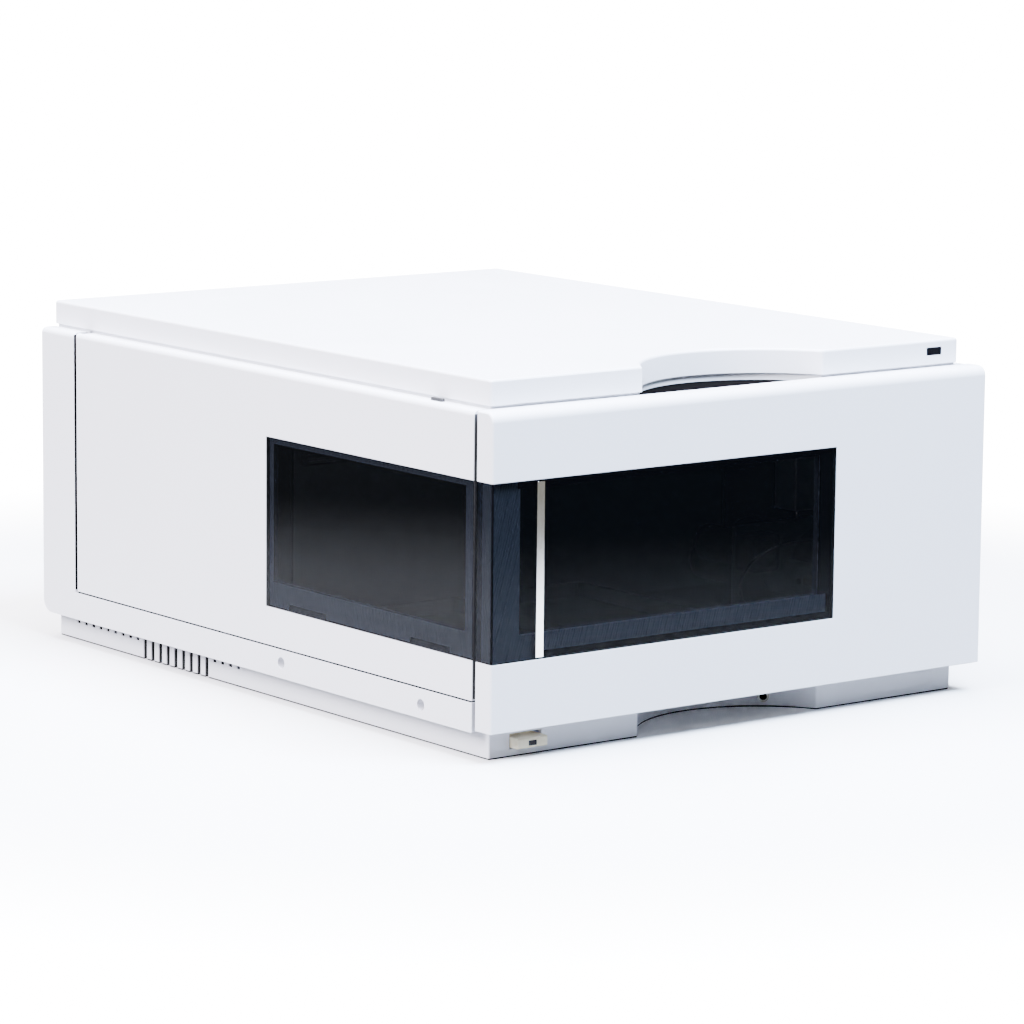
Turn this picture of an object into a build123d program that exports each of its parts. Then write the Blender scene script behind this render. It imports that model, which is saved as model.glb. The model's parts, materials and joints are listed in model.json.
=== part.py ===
from build123d import *
import os
from math import atan2, cos, radians, sin, sqrt, tan

# Benchtop autosampler for liquid chromatography, an assembly of separate pieces, in millimetres.
# The origin is the middle of the footprint on the surface it stands on. X points right seen from
# the front, Y to the rear and Z up. Distances named from_front start at the front door's face.

os.makedirs("parts", exist_ok=True)

# Overall size
width = 345.0
depth = 440.0
height = 200.0
left = -width / 2
right = width / 2
front = -depth / 2
rear = depth / 2

# Common sizes
overrun = 1.0
skin = 2.5
sheet = 1.6
fit_gap = 0.3
bore_gap = 0.05
door_seam = 1.8
lower_seam = 0.9

# Base tray
foot_high = 0.8
foot_radius = 9.0
foot_from_side = 30.0
foot_from_front = 36.0
foot_from_rear = 26.0
base_inset = 9.3
base_wall = 3.0
base_top = 16.4
base_corner = 1.0
base_from_front = 13.7
base_from_rear = 3.3
base_half = width / 2 - base_inset
base_front = front + base_from_front
base_rear = rear - base_from_rear
base_floor = foot_high + base_wall

# Arch in the front of the base and of the top cover
arch_radius = 72.0
arch_depth = 51.4
arch_lip = 2.0
arch_centre = front + arch_depth - arch_radius

# Vents in the side walls of the base
vent_pitch = 8.03
vent_first_from_rear = 24.3
vent_small_wide = 3.0
vent_tall_wide = 3.4
vent_small_bottom = 10.0
vent_top = 12.5
vent_count = 22
vent_first_tall = 9
vent_last_tall = 17

# Front door
door_bottom = 16.8
door_from_top = 15.0
door_flange = 13.5
door_corner = 1.3
door_brow = 5.6
window_right = 62.3
window_bottom = 53.5
window_top = 148.1
window_gap = 0.15
strip_from_side = 29.2
strip_wide = 4.9
strip_margin = 1.0
strip_deep = 0.8
post_wide = 17.5
post_deep = 9.5
sill_high = 14.0
head_high = 4.0
band_wide = 10.3
frame_lap = 5.0
frame_deep = 4.0
catch_wide = 6.0
catch_high = 14.0
catch_long = 10.0
catch_plate_thick = 1.2

# Hinges of both doors
pin_radius = 1.2
knuckle_radius = 2.4
knuckle_high = 12.0
pin_reach = 10.0
pivot_in = 5.5
front_pivot_back = 6.5
side_pivot_back = 6.0
arm_thick = 4.0
arm_half_wide = 2.0
arm_leg_wide = 3.0
arm_leg_long = 25.0
front_knuckle_low = 24.3
front_knuckle_from_top = 20.7
side_knuckle_low = 44.3
side_knuckle_from_top = 24.4
edge_round = 1.5

# Side panels and side door
panel_from_top = 15.3
panel_bottom = 15.2
panel_from_front = 16.3
panel_corner = 8.0
panel_edge = 3.3
panel_return = 15.0
lip_wide = 9.0
side_door_bottom = 32.2
side_door_from_rear = 37.0
side_window_from_front = 206.0
side_post_wide = 9.7
side_frame_deep = 3.0
clip_long = 35.0
clip_high = 3.0
clip_deep = 1.0
clip_centres_from_front = (57.0, 169.5)
latch_from_front = 51.2
latch_long = 9.4
latch_wide = 2.4
latch_high = 1.6
latch_from_side = 4.8
latch_head = 1.2
latch_round = 0.6
door_top = height - door_from_top
panel_top = height - panel_from_top
strip_left = left + strip_from_side
front_knuckle_bottoms = (front_knuckle_low, door_top - front_knuckle_from_top)
side_knuckle_bottoms = (side_knuckle_low, panel_top - side_knuckle_from_top)
panel_front = front + panel_from_front
side_door_rear = rear - side_door_from_rear
side_window_rear = front + side_window_from_front

# Panel screws, as distance from the front and height
screw_places = ((61.2, 22.5), (191.2, 23.8))
screw_hole_radius = 3.25
screw_head_radius = 3.0
screw_head_high = 2.5
screw_shank_radius = 1.6
boss_radius = 5.2
boss_floor = 3.0
screw_grip = 4.0

# Top cover
cover_inset = 9.0
cover_from_front = 14.1
cover_high = 13.7
cover_corner = 1.8
cover_edge = 1.7
cover_half = width / 2 - cover_inset
cover_front = front + cover_from_front
cover_bottom = height - cover_high
arch_half = sqrt(arch_radius**2 - (cover_front - arch_centre) ** 2)
ring_inset = 1.5
ring_wide = 3.0
ring_relief = 0.4
plate_from_side = 14.8
plate_from_arch = 12.74
plate_from_top = 1.0
plate_deep = 0.8
lens_from_side = 12.7
lens_wide = 10.1
lens_from_top = 4.8
lens_high = 3.2
pipe_half = 3.0
pipe_deep = 8.0
plate_left = plate_from_side - cover_half
plate_right = -arch_half - plate_from_arch
plate_top = height - plate_from_top
lens_right = cover_half - lens_from_side
lens_left = lens_right - lens_wide
lens_top = height - lens_from_top
lens_bottom = lens_top - lens_high

# Chassis
deck_thick = 2.0
deck_from_top = 19.8
view_bottom = 50.0
view_top = 152.0
view_first_from_front = 28.0
view_last_from_front = 200.0
chassis_setback = 6.0
bulkhead_from_front = 208.0
chassis_half = base_half - base_wall - fit_gap
wall_inside = chassis_half - sheet
chassis_front = base_front + chassis_setback + fit_gap
rear_panel_inner = base_rear - base_wall - fit_gap
rear_panel_outer = rear_panel_inner + sheet
bulkhead_front = front + bulkhead_from_front
bulkhead_back = bulkhead_front + sheet
deck_bottom = height - deck_from_top
deck_top = deck_bottom + deck_thick

# Chamber floor and tray
floor_bottom = 30.0
floor_thick = 3.0
floor_rim_high = 5.0
floor_rim_wide = 2.0
drain_pan_from_unit = 10.0
drain_pan_from_front = 56.0
floor_top = floor_bottom + floor_thick
tray_from_wall = 2.3
tray_to_sensor = 18.0
tray_from_front = 24.0
tray_long = 152.0
tray_bed_high = 7.0
tray_high = 12.0
tray_corner = 2.0
nest_long = 128.4
nest_from_side = 2.8
nest_deep = 8.0
nest_between = 2.0
nest_from_tray_rear = 2.6
vial_radius = 6.1
vial_deep = 9.0
vial_count = 10
vial_from_side = 13.5
vial_from_tray_front = 10.5
tray_front = front + tray_from_front
tray_rear = tray_front + tray_long
tray_bottom = floor_top + tray_bed_high
tray_top = tray_bottom + tray_high

# Transport
rail_radius = 4.0
rail_from_front = 190.0
drive_below_deck = 27.7
rail_offset = 16.5
carriage_from_unit = 14.0
carriage_half = 22.0
carriage_half_deep = 10.0
carriage_low = 23.5
slot_half_high = 11.0
slot_half_deep = 6.0
shelf_thick = 4.0
shelf_below = 0.5
shelf_half = 14.0
pivot_from_front = 112.0
swing_reach = 60.0
swing_motor_radius = 17.0
swing_motor_high = 24.0
shaft_radius = 3.0
shaft_high = 18.0
hub_radius = 11.0
hub_high = 17.0
beam_half = 6.0
beam_high = 12.0
column_half = 9.0
column_below_deck = 3.2
column_long = 71.0
slider_half = 4.9
slider_inset_top = 1.0
slider_inset_bottom = 2.0
slider_chamfer = 1.5
needle_radius = 0.75
needle_point_share = 0.6
needle_out = 10.0
needle_collar_radius = 2.2
needle_collar_high = 1.5
pulley_radius = 8.0
pulley_flange_radius = 9.5
pulley_flange = 1.5
pulley_half = 5.0
pulley_tooth_count = 20
pulley_tooth_deep = 0.6
belt_thick = 1.2
belt_half = 3.0
axle_radius = 2.5
axle_collar_radius = 4.0
drive_pulley_from_wall = 24.3
idler_from_wall = 11.3
motor_half = 21.0
motor_long = 38.0
motor_corner = 3.0
swing_corner = 1.5
motor_shaft_in = 12.0
drive_height = deck_bottom - drive_below_deck
column_top = deck_bottom - column_below_deck
column_bottom = column_top - column_long
slider_top = column_top - slider_inset_top
slider_bottom = column_bottom + slider_inset_bottom
needle_tip = slider_bottom - needle_out
drive_pulley_x = wall_inside - drive_pulley_from_wall
idler_x = idler_from_wall - wall_inside
rail_y = front + rail_from_front
pivot_y = front + pivot_from_front
needle_y = pivot_y - swing_reach
shelf_top = drive_height - shelf_below
shelf_bottom = shelf_top - shelf_thick
hub_top = shelf_bottom - fit_gap

# Sampling unit
unit_from_wall = 2.3
unit_wide = 90.0
unit_face_from_front = 88.0
unit_plate = 3.0
unit_top = 92.0
unit_foot = 26.0
unit_right = wall_inside - unit_from_wall
unit_left = unit_right - unit_wide
unit_face = front + unit_face_from_front
unit_back = unit_face + unit_plate
valve_from_right = 28.0
valve_z = 66.0
valve_radius = 20.0
valve_long = 30.0
rotor_radius = 12.0
rotor_thick = 7.7
rotor_shaft_radius = 4.0
rotor_shaft_long = 22.0
valve_drive_radius = 17.0
valve_drive_long = 60.0
port_circle = 7.0
port_count = 6
port_bore = 0.8
port_radius = 2.4
port_deep = 7.0
nut_radius = 3.2
nut_long = 9.0
meter_from_right = 59.0
meter_z = 62.0
meter_radius = 10.0
meter_long = 26.0
plunger_radius = 2.0
plunger_start = 8.0
plunger_long = 34.0
plunger_collar_radius = 4.0
plunger_collar_long = 6.0
plunger_travel = 15.0
meter_drive_radius = 12.0
meter_drive_long = 60.0
pump_from_right = 79.5
pump_z = 77.5
pump_half = 10.5
pump_long = 14.0
pump_cavity = 8.5
roller_radius = 2.0
roller_circle = 5.5
roller_count = 3
pump_hub_radius = 3.0
pump_plate_radius = 8.0
pump_plate_thick = 1.5
pump_back_thick = 3.0
pump_shaft_radius = 2.0
pump_motor_radius = 10.0
pump_motor_long = 34.0
pump_shaft_in = 12.0
bracket_from_unit = 6.0
bracket_wide = 35.0
bracket_bottom = 38.0
bracket_thick = 4.0
bracket_from_face = 46.0
seat_radius = 5.0
seat_high = 14.0
seat_bore = 1.1
seat_deep = 9.0
wash_from_seat = 20.0
wash_bore = 2.8
wash_deep = 11.0
capillary_radius = 0.8
drain_tube_radius = 2.4
drain_height = 6.6
drain_x = 44.0
drain_radius = 3.1
drain_bore = 2.1
drain_free = 3.5
drain_shoulder = 0.5
drain_in = 8.0
drain_collar_radius = 3.35
drain_bend = 8.0
bend_share = 0.45
sensor_from_drain = 11.0
sensor_from_front = 32.0
sensor_radius = 3.0
sensor_high = 8.0
sensor_chamfer = 1.0

# Power button, rod and switch
button_from_side = 14.2
button_wide = 20.0
button_bottom = 5.0
button_top = 10.5
button_out = 6.5
button_in = 8.0
button_round = 1.0
button_clear_x = 0.6
button_clear_z = 0.9
button_clear_top = 2.0
button_lens_from_left = 7.4
button_lens_wide = 5.1
button_lens_bottom = 6.3
button_lens_top = 9.0
button_lens_deep = 0.6
rod_radius = 2.0
rod_guide_thick = 3.0
rod_guide_half = 5.0
rod_guides_from_front = (60.0, 150.0)
switch_long = 8.0
switch_half = 7.0
switch_high = 12.0
switch_depth = 3.5
type_plate_from_side = 13.0
type_plate_wide = 51.7
type_plate_bottom = 4.2
type_plate_top = 12.6
type_plate_deep = 0.6
button_left = button_from_side - base_half
button_right = button_left + button_wide
button_lens_left = button_left + button_lens_from_left
button_lens_right = button_lens_left + button_lens_wide
type_plate_right = base_half - type_plate_from_side
type_plate_left = type_plate_right - type_plate_wide
button_x = (button_left + button_right) / 2
button_z = (button_bottom + button_top) / 2

# Electronics
supply_from_wall = 3.3
supply_to_board = 80.0
supply_from_bulkhead = 10.4
supply_from_rear = 35.0
supply_top = 70.0
supply_slot_count = 9
supply_slot_wide = 3.0
supply_slot_long = 60.0
supply_slot_deep = 1.0
supply_slot_pitch = 12.0
inlet_from_supply_edge = 46.0
inlet_z = 46.0
inlet_half_x = 13.7
inlet_half_z = 10.0
inlet_flange_x = 25.0
inlet_flange_z = 11.5
inlet_flange = 2.4
inlet_hole_x = 12.25
inlet_hole_z = 8.25
inlet_deep = 17.0
inlet_pin_half_x = 1.0
inlet_pin_half_z = 2.0
inlet_pin_long = 14.0
inlet_pin_pitch = 7.0
inlet_pin_raise = 2.0
board_to_fan = 67.0
board_thick = 1.6
board_bottom = 40.0
board_below_deck = 6.2
chip_high = 3.0
chip_first_from_front = 232.0
chip_pitch = 34.0
chip_long = 20.0
chip_tall = 16.0
chip_rows = (60.0, 100.0, 140.0)
chip_columns = 5
port_wide = 12.5
port_out = 4.0
port_in = 14.0
signal_count = 3
signal_pitch = 38.0
signal_half = 15.5
signal_chamfer = 2.0
network_below_top = 10.0
network_half = 8.0
network_wall = 1.5
fan_from_side = 87.5
fan_z = 110.0
fan_half = 40.0
fan_deep = 25.0
fan_corner = 4.0
fan_bore = 38.0
fan_hub = 18.0
fan_hub_wall = 4.0
fan_tip_gap = 1.5
fan_strut_half = 2.5
fan_strut_count = 3
blade_count = 7
blade_chord = 19.0
blade_thick = 1.6
blade_pitch_angle = 42.0
fan_screw_offset = 35.75
guard_ring_wide = 1.6
guard_thick = 1.5
guard_rings = (14.0, 25.0, 36.0)
guard_eye = 3.4
guard_screw_radius = 2.8
guard_screw_high = 1.6
panel_screw_inset = 8.0
panel_screw_low = 40.0
panel_screw_from_top = 40.0

# Shared places worked out from the sizes above
carriage_rest = unit_left + carriage_from_unit
wash_x = carriage_rest + wash_from_seat
valve_x = unit_right - valve_from_right
meter_x = unit_right - meter_from_right
pump_x = unit_right - pump_from_right
bracket_left = unit_left + bracket_from_unit
bracket_right = bracket_left + bracket_wide
drain_pan_x = unit_left - drain_pan_from_unit
sensor_x = drain_pan_x - sensor_from_drain
tray_left = tray_from_wall - wall_inside
tray_right = sensor_x - sensor_radius - tray_to_sensor
tray_middle = (tray_left + tray_right) / 2
nest_wide = (tray_right - tray_left - nest_between) / 2 - nest_from_side
vial_pitch = (tray_right - tray_left - 2 * vial_from_side) / (vial_count - 1)
front_pivot = (right - pivot_in, front + door_flange - front_pivot_back)
side_pivot = (left + pivot_in, side_door_rear - side_pivot_back)
fan_x = right - fan_from_side
board_x = fan_x - board_to_fan
supply_right = board_x - supply_to_board
inlet_x = supply_right - inlet_from_supply_edge
supply_left = supply_from_wall - wall_inside
board_top = deck_bottom - board_below_deck
network_height = board_top - network_below_top
signal_heights = [board_top - signal_pitch * (place + 1) for place in range(signal_count)]
supply_front = bulkhead_back + supply_from_bulkhead
supply_rear = rear - supply_from_rear
nest_rear = tray_rear - nest_from_tray_rear
drain_angle = atan2(sqrt(arch_radius**2 - drain_x**2), drain_x)
drain_wall = (drain_x, arch_centre + arch_radius * sin(drain_angle), drain_height)
drain_out_way = (-cos(drain_angle), -sin(drain_angle), 0)
drain_in_way = (cos(drain_angle), sin(drain_angle), 0)
sensor_y = front + sensor_from_front

along_x = (1, 0, 0)
along_y = (0, 1, 0)
along_z = (0, 0, 1)
toward_front = (0, -1, 0)
pieces = {}


def block(x, y, z, mode=Mode.ADD):
    """Add or cut the box that spans x, y and z, each a low and a high end."""
    low = (Align.MIN, Align.MIN, Align.MIN)
    with Locations((x[0], y[0], z[0])):
        Box(x[1] - x[0], y[1] - y[0], z[1] - z[0], align=low, mode=mode)


def bar(start, way, radius, length, mode=Mode.ADD):
    """Add or cut a round bar that starts at a point and runs one way."""
    with Locations(Plane(origin=start, z_dir=way)):
        Cylinder(radius, length, align=(Align.CENTER, Align.CENTER, Align.MIN), mode=mode)


def about(middle, half):
    """The span that reaches as far to each side of its middle."""
    return (middle - half, middle + half)


def along(start, way, length):
    """The point that lies a length along one way from a start."""
    return tuple(a + length * b for a, b in zip(start, way))


def arched_plan(half, start, end, corner, inset):
    """Plan of a rounded rectangle with the arch in its front, drawn in by an inset."""
    with BuildSketch() as plan:
        with Locations((0, (start + end) / 2)):
            Rectangle(2 * (half - inset), end - start - 2 * inset)
        if inset < corner:
            fillet(plan.vertices(), corner - inset)
        with Locations((0, arch_centre)):
            Circle(arch_radius + inset, mode=Mode.SUBTRACT)
        fillet(plan.vertices().group_by(Axis.Y)[0].sort_by(Axis.X)[1:3], arch_lip)
    return plan.sketch


def tube(points, radius):
    """A solid line of tubing: straight runs joined by arcs as large as the runs allow."""
    radii = []
    for before, at, after in zip(points, points[1:], points[2:]):
        back = Vector(*before) - Vector(*at)
        onward = Vector(*after) - Vector(*at)
        turn = 180 - back.get_angle(onward)
        radii.append(bend_share * min(back.length, onward.length) / tan(radians(turn / 2)))
    with BuildPart() as piece:
        with BuildLine() as path:
            FilletPolyline(*points, radius=radii)
        with BuildSketch(Plane(origin=path.line @ 0, z_dir=path.line % 0)):
            Circle(radius)
        sweep()
    return piece


def from_front(points):
    """Points given as x, distance from the front and height, in the part's own frame."""
    return [(x, front + y, z) for x, y, z in points]


# Base tray: a tub with an arch in front, vents in both sides and guides for the switch rod
with BuildPart() as base_tray:
    with BuildSketch(Plane.XY.offset(foot_high)):
        add(arched_plan(base_half, base_front, base_rear, base_corner, 0))
    extrude(amount=base_top - foot_high)
    with BuildSketch(Plane.XY.offset(base_floor)):
        add(arched_plan(base_half, base_front, base_rear, base_corner, base_wall))
    extrude(amount=base_top, mode=Mode.SUBTRACT)
    for index in range(vent_count):
        tall = vent_first_tall <= index <= vent_last_tall
        vent_y = rear - vent_first_from_rear - index * vent_pitch
        vent_half = (vent_tall_wide if tall else vent_small_wide) / 2
        vent_z = (foot_high - overrun if tall else vent_small_bottom, vent_top)
        inner = base_half - base_wall
        outer = base_half + overrun
        block((inner, outer), about(vent_y, vent_half), vent_z, Mode.SUBTRACT)
        block((-outer, -inner), about(vent_y, vent_half), vent_z, Mode.SUBTRACT)
    block(
        (button_left - button_clear_x, button_right + button_clear_x),
        (base_front - overrun, base_front + base_wall + overrun),
        (button_bottom - button_clear_z, button_top + button_clear_top),
        Mode.SUBTRACT,
    )
    block(
        (type_plate_left, type_plate_right),
        (base_front - overrun, base_front + type_plate_deep),
        (type_plate_bottom, type_plate_top),
        Mode.SUBTRACT,
    )
    for guide in rod_guides_from_front:
        block(
            about(button_x, rod_guide_half),
            about(front + guide, rod_guide_thick / 2),
            (base_floor, button_z + rod_guide_half),
        )
        bar(
            (button_x, front + guide - rod_guide_thick, button_z),
            along_y,
            rod_radius + bore_gap,
            2 * rod_guide_thick,
            Mode.SUBTRACT,
        )
    bar(
        along(drain_wall, drain_out_way, drain_shoulder),
        drain_in_way,
        drain_collar_radius,
        drain_shoulder + base_wall + drain_in,
        Mode.SUBTRACT,
    )
pieces["base_tray"] = base_tray

with BuildPart() as rubber_feet:
    for x in (-right + foot_from_side, right - foot_from_side):
        for y in (front + foot_from_front, rear - foot_from_rear):
            bar((x, y, 0), along_z, foot_radius, foot_high)
pieces["rubber_feet"] = rubber_feet


# Top cover: a shell with the same arch, a pocket for the name plate and a slot for the status lens
with BuildPart() as top_cover:
    with BuildSketch(Plane.XY.offset(cover_bottom)):
        add(arched_plan(cover_half, cover_front, rear, cover_corner, 0))
    extrude(amount=height - cover_bottom)
    fillet(top_cover.edges().group_by(Axis.Z)[-1], cover_edge)
    with BuildSketch(Plane.XY.offset(cover_bottom)):
        add(arched_plan(cover_half, cover_front, rear, cover_corner, skin))
    extrude(amount=height - cover_bottom - skin, mode=Mode.SUBTRACT)
    block(
        (plate_left, plate_right),
        (cover_front - overrun, cover_front + plate_deep),
        (cover_bottom - overrun, plate_top),
        Mode.SUBTRACT,
    )
    block(
        (lens_left, lens_right),
        (cover_front - overrun, cover_front + skin + overrun),
        (lens_bottom, lens_top),
        Mode.SUBTRACT,
    )
pieces["top_cover"] = top_cover

# Bare plates: one in the cover's pocket and one in the base's
with BuildPart() as bare_plates:
    block((plate_left, plate_right), (cover_front, cover_front + plate_deep), (cover_bottom, plate_top))
    block(
        (type_plate_left, type_plate_right),
        (base_front, base_front + type_plate_deep),
        (type_plate_bottom, type_plate_top),
    )
pieces["bare_plates"] = bare_plates

# Status lens: the end of a light pipe that comes up from the deck behind the cover's front wall
with BuildPart() as status_lens:
    block((lens_left, lens_right), (cover_front, cover_front + skin), (lens_bottom, lens_top))
    pipe_x = about((lens_left + lens_right) / 2, pipe_half)
    pipe_y = (cover_front + skin, cover_front + skin + pipe_deep)
    block(pipe_x, pipe_y, (lens_bottom, lens_top))
    block(pipe_x, (pipe_y[1] - pipe_half, pipe_y[1]), (deck_top, lens_top))
pieces["status_lens"] = status_lens

# Top frame: the light ring that shows under the cover and follows the arch, with a relief where the
# rear corner of the open side door comes to stand
with BuildPart() as top_frame:
    with BuildSketch(Plane.XY.offset(deck_top)):
        add(arched_plan(cover_half, cover_front, rear, cover_corner, ring_inset))
        add(
            arched_plan(cover_half, cover_front, rear, cover_corner, ring_inset + ring_wide),
            mode=Mode.SUBTRACT,
        )
    extrude(amount=cover_bottom - deck_top)
    block(
        (-cover_half, side_pivot[0] + side_pivot_back + ring_relief),
        (side_pivot[1] + pivot_in - skin - ring_relief, side_door_rear + 2 * ring_relief),
        (deck_top - overrun, panel_top + ring_relief),
        Mode.SUBTRACT,
    )
pieces["top_frame"] = top_frame

# Inner deck: the dark plate that closes the module under the cover
with BuildPart() as inner_deck:
    block(about(0, chassis_half), (cover_front + ring_inset, rear_panel_outer), (deck_bottom, deck_top))
pieces["inner_deck"] = inner_deck


def add_knuckles(pivot, wall_x, bottoms):
    """Add a door's hinge knuckles, each a barrel with a web to the door's wall."""
    for bottom in bottoms:
        bar((*pivot, bottom), along_z, knuckle_radius, knuckle_high)
        web = sorted((pivot[0], wall_x))
        block(web, about(pivot[1], knuckle_radius), (bottom, bottom + knuckle_high))
    for bottom in bottoms:
        bar((*pivot, bottom), along_z, pin_radius + bore_gap, knuckle_high, Mode.SUBTRACT)


def add_hinge_pin(pivot, bottom):
    """Add the round end of a hinge arm and the pin that stands on it."""
    arm_bottom = bottom - fit_gap - arm_thick
    bar((*pivot, arm_bottom), along_z, knuckle_radius, arm_thick)
    bar((*pivot, arm_bottom), along_z, pin_radius, arm_thick + fit_gap + pin_reach)


def door_profile(inset, back):
    """Profile of the front door across its width, drawn in by an inset, with a rounded brow."""
    span = (door_bottom + inset, door_top - inset)
    with BuildSketch(Plane.YZ.offset(left + inset)) as profile:
        with Locations(((front + inset + back) / 2, (span[0] + span[1]) / 2)):
            Rectangle(back - front - inset, span[1] - span[0])
        fillet(profile.vertices().group_by(Axis.Y)[-1].sort_by(Axis.X)[0], door_brow - inset)
    return profile.sketch


# Front door: a shallow shell with the window opening cut through its left corner
with BuildPart() as front_door:
    extrude(door_profile(0, front + door_flange), amount=width)
    ends = front_door.faces().sort_by(Axis.X)
    rims = ends[0].edges() + ends[-1].edges()
    soft = [rim for rim in rims if rim.center().Y < front + door_flange - overrun]
    fillet([rim for rim in soft if rim.center().Z > door_bottom + overrun], door_corner)
    hollow = door_profile(skin, front + door_flange + overrun)
    extrude(hollow, amount=width - 2 * skin, mode=Mode.SUBTRACT)
    block(
        (left - overrun, window_right),
        (front - overrun, front + door_flange + overrun),
        (window_bottom, window_top),
        Mode.SUBTRACT,
    )
    add_knuckles(front_pivot, right - skin, front_knuckle_bottoms)
pieces["front_door"] = front_door

# Front window: a tinted pane that wraps round the left corner, with a groove for the grip strip
with BuildPart() as front_window:
    pane_end = window_right - window_gap
    with BuildSketch(Plane.XY.offset(window_bottom + window_gap)):
        with BuildLine():
            Polyline(
                (left, front + door_flange),
                (left, front),
                (pane_end, front),
                (pane_end, front + skin),
                (left + skin, front + skin),
                (left + skin, front + door_flange),
                close=True,
            )
        make_face()
    extrude(amount=window_top - window_bottom - 2 * window_gap)
    pane_edges = front_window.edges().filter_by(Axis.Z)
    fillet(pane_edges.sort_by_distance((left, front, window_bottom))[0], door_corner)
    block(
        (strip_left, strip_left + strip_wide),
        (front - overrun, front + strip_deep),
        (window_bottom + strip_margin, window_top - strip_margin),
        Mode.SUBTRACT,
    )
pieces["front_window"] = front_window

with BuildPart() as grip_strip:
    block(
        (strip_left, strip_left + strip_wide),
        (front, front + strip_deep),
        (window_bottom + strip_margin, window_top - strip_margin),
    )
pieces["grip_strip"] = grip_strip

# Window frame: the post, sill and bands behind the front window, with two catch pads on the post
catch_y = front + skin + post_deep
catch_bottoms = (window_bottom - frame_lap, window_top + frame_lap - catch_high)
with BuildPart() as window_frame:
    frame_y = (front + skin, front + skin + frame_deep)
    block(
        (left + skin, window_right + frame_lap),
        frame_y,
        (window_bottom - frame_lap, window_top + frame_lap),
    )
    block(
        (left + skin + post_wide, window_right - band_wide),
        (frame_y[0] - overrun, frame_y[1] + overrun),
        (window_bottom + sill_high, window_top - head_high),
        Mode.SUBTRACT,
    )
    block(
        (left + skin, left + skin + post_wide),
        (front + skin, front + skin + post_deep),
        (window_bottom - frame_lap, window_top + frame_lap),
    )
    for bottom in catch_bottoms:
        block(
            (-wall_inside, -wall_inside + catch_wide),
            (catch_y - overrun, catch_y + catch_plate_thick),
            (bottom, bottom + catch_high),
        )
pieces["window_frame"] = window_frame

# Magnets on the left chassis side, which hold the door shut by the steel pads on its frame
with BuildPart() as door_magnets:
    for bottom in catch_bottoms:
        block(
            (-wall_inside, -wall_inside + catch_wide),
            (catch_y + catch_plate_thick + fit_gap, catch_y + catch_plate_thick + catch_long),
            (bottom, bottom + catch_high),
        )
pieces["door_magnets"] = door_magnets

# Hinge brackets with their pins: goosenecks from the right chassis side for the front door, and
# short arms out of the left chassis side for the side door
with BuildPart() as hinge_brackets:
    for bottom in front_knuckle_bottoms:
        arm_z = (bottom - fit_gap - arm_thick, bottom - fit_gap)
        arm_y = about(front_pivot[1], arm_half_wide)
        leg_x = (wall_inside - arm_leg_wide, wall_inside)
        block((leg_x[0], front_pivot[0]), arm_y, arm_z)
        block(leg_x, (arm_y[0], arm_y[0] + arm_leg_long), arm_z)
        add_hinge_pin(front_pivot, bottom)
    for bottom in side_knuckle_bottoms:
        arm_z = (bottom - fit_gap - arm_thick, bottom - fit_gap)
        block((side_pivot[0], -chassis_half), about(side_pivot[1], arm_half_wide), arm_z)
        add_hinge_pin(side_pivot, bottom)
pieces["hinge_brackets"] = hinge_brackets

def edge_waste(face_x, inward, start, end):
    """What the rounded top edge of a side wall leaves off its square corner."""
    middle_x = face_x + inward * panel_edge
    with BuildPart() as waste:
        waste_x = sorted((face_x - inward * overrun, middle_x))
        block(waste_x, (start - overrun, end + overrun), (panel_top - panel_edge, panel_top + overrun))
        axis_start = (middle_x, start - 2 * overrun, panel_top - panel_edge)
        bar(axis_start, along_y, panel_edge, end - start + 4 * overrun, Mode.SUBTRACT)
    return waste.part


# Side door: a flat shell with a top lip, the window opening and two knuckles at its rear edge
with BuildPart() as side_door:
    block((left, left + skin), (panel_front, side_door_rear), (side_door_bottom, panel_top))
    fillet(side_door.edges().filter_by(Axis.Z).sort_by(Axis.Y)[-2:].sort_by(Axis.X)[0], edge_round)
    block((left, left + lip_wide), (panel_front, side_pivot[1]), (panel_top - skin, panel_top))
    add(edge_waste(left, 1, panel_front, side_door_rear), mode=Mode.SUBTRACT)
    block(
        (left - overrun, left + skin + overrun),
        (panel_front - overrun, side_window_rear),
        (window_bottom, window_top),
        Mode.SUBTRACT,
    )
    block(
        about(left + latch_from_side + latch_wide / 2, latch_wide / 2 + fit_gap),
        (front + latch_from_front - fit_gap, front + latch_from_front + latch_long + fit_gap),
        (panel_top - skin - overrun, panel_top + overrun),
        Mode.SUBTRACT,
    )
    add_knuckles(side_pivot, left + skin, side_knuckle_bottoms)
pieces["side_door"] = side_door

with BuildPart() as side_window:
    block(
        (left, left + skin),
        (panel_front, side_window_rear - window_gap),
        (window_bottom + window_gap, window_top - window_gap),
    )
pieces["side_window"] = side_window

# Side window frame: post, sill and bands, with two pockets for the clips
with BuildPart() as side_frame:
    frame_x = (left + skin, left + skin + side_frame_deep)
    block(
        frame_x,
        (panel_front, side_window_rear + frame_lap),
        (window_bottom - frame_lap, window_top + frame_lap),
    )
    block(
        (frame_x[0] - overrun, frame_x[1] + overrun),
        (panel_front + side_post_wide, side_window_rear - head_high),
        (window_bottom + sill_high, window_top - head_high),
        Mode.SUBTRACT,
    )
    for centre in clip_centres_from_front:
        block(
            (frame_x[0] - overrun, frame_x[0] + clip_deep),
            about(front + centre, clip_long / 2),
            (window_bottom + window_gap, window_bottom + window_gap + clip_high),
            Mode.SUBTRACT,
        )
pieces["side_window_frame"] = side_frame

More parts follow.
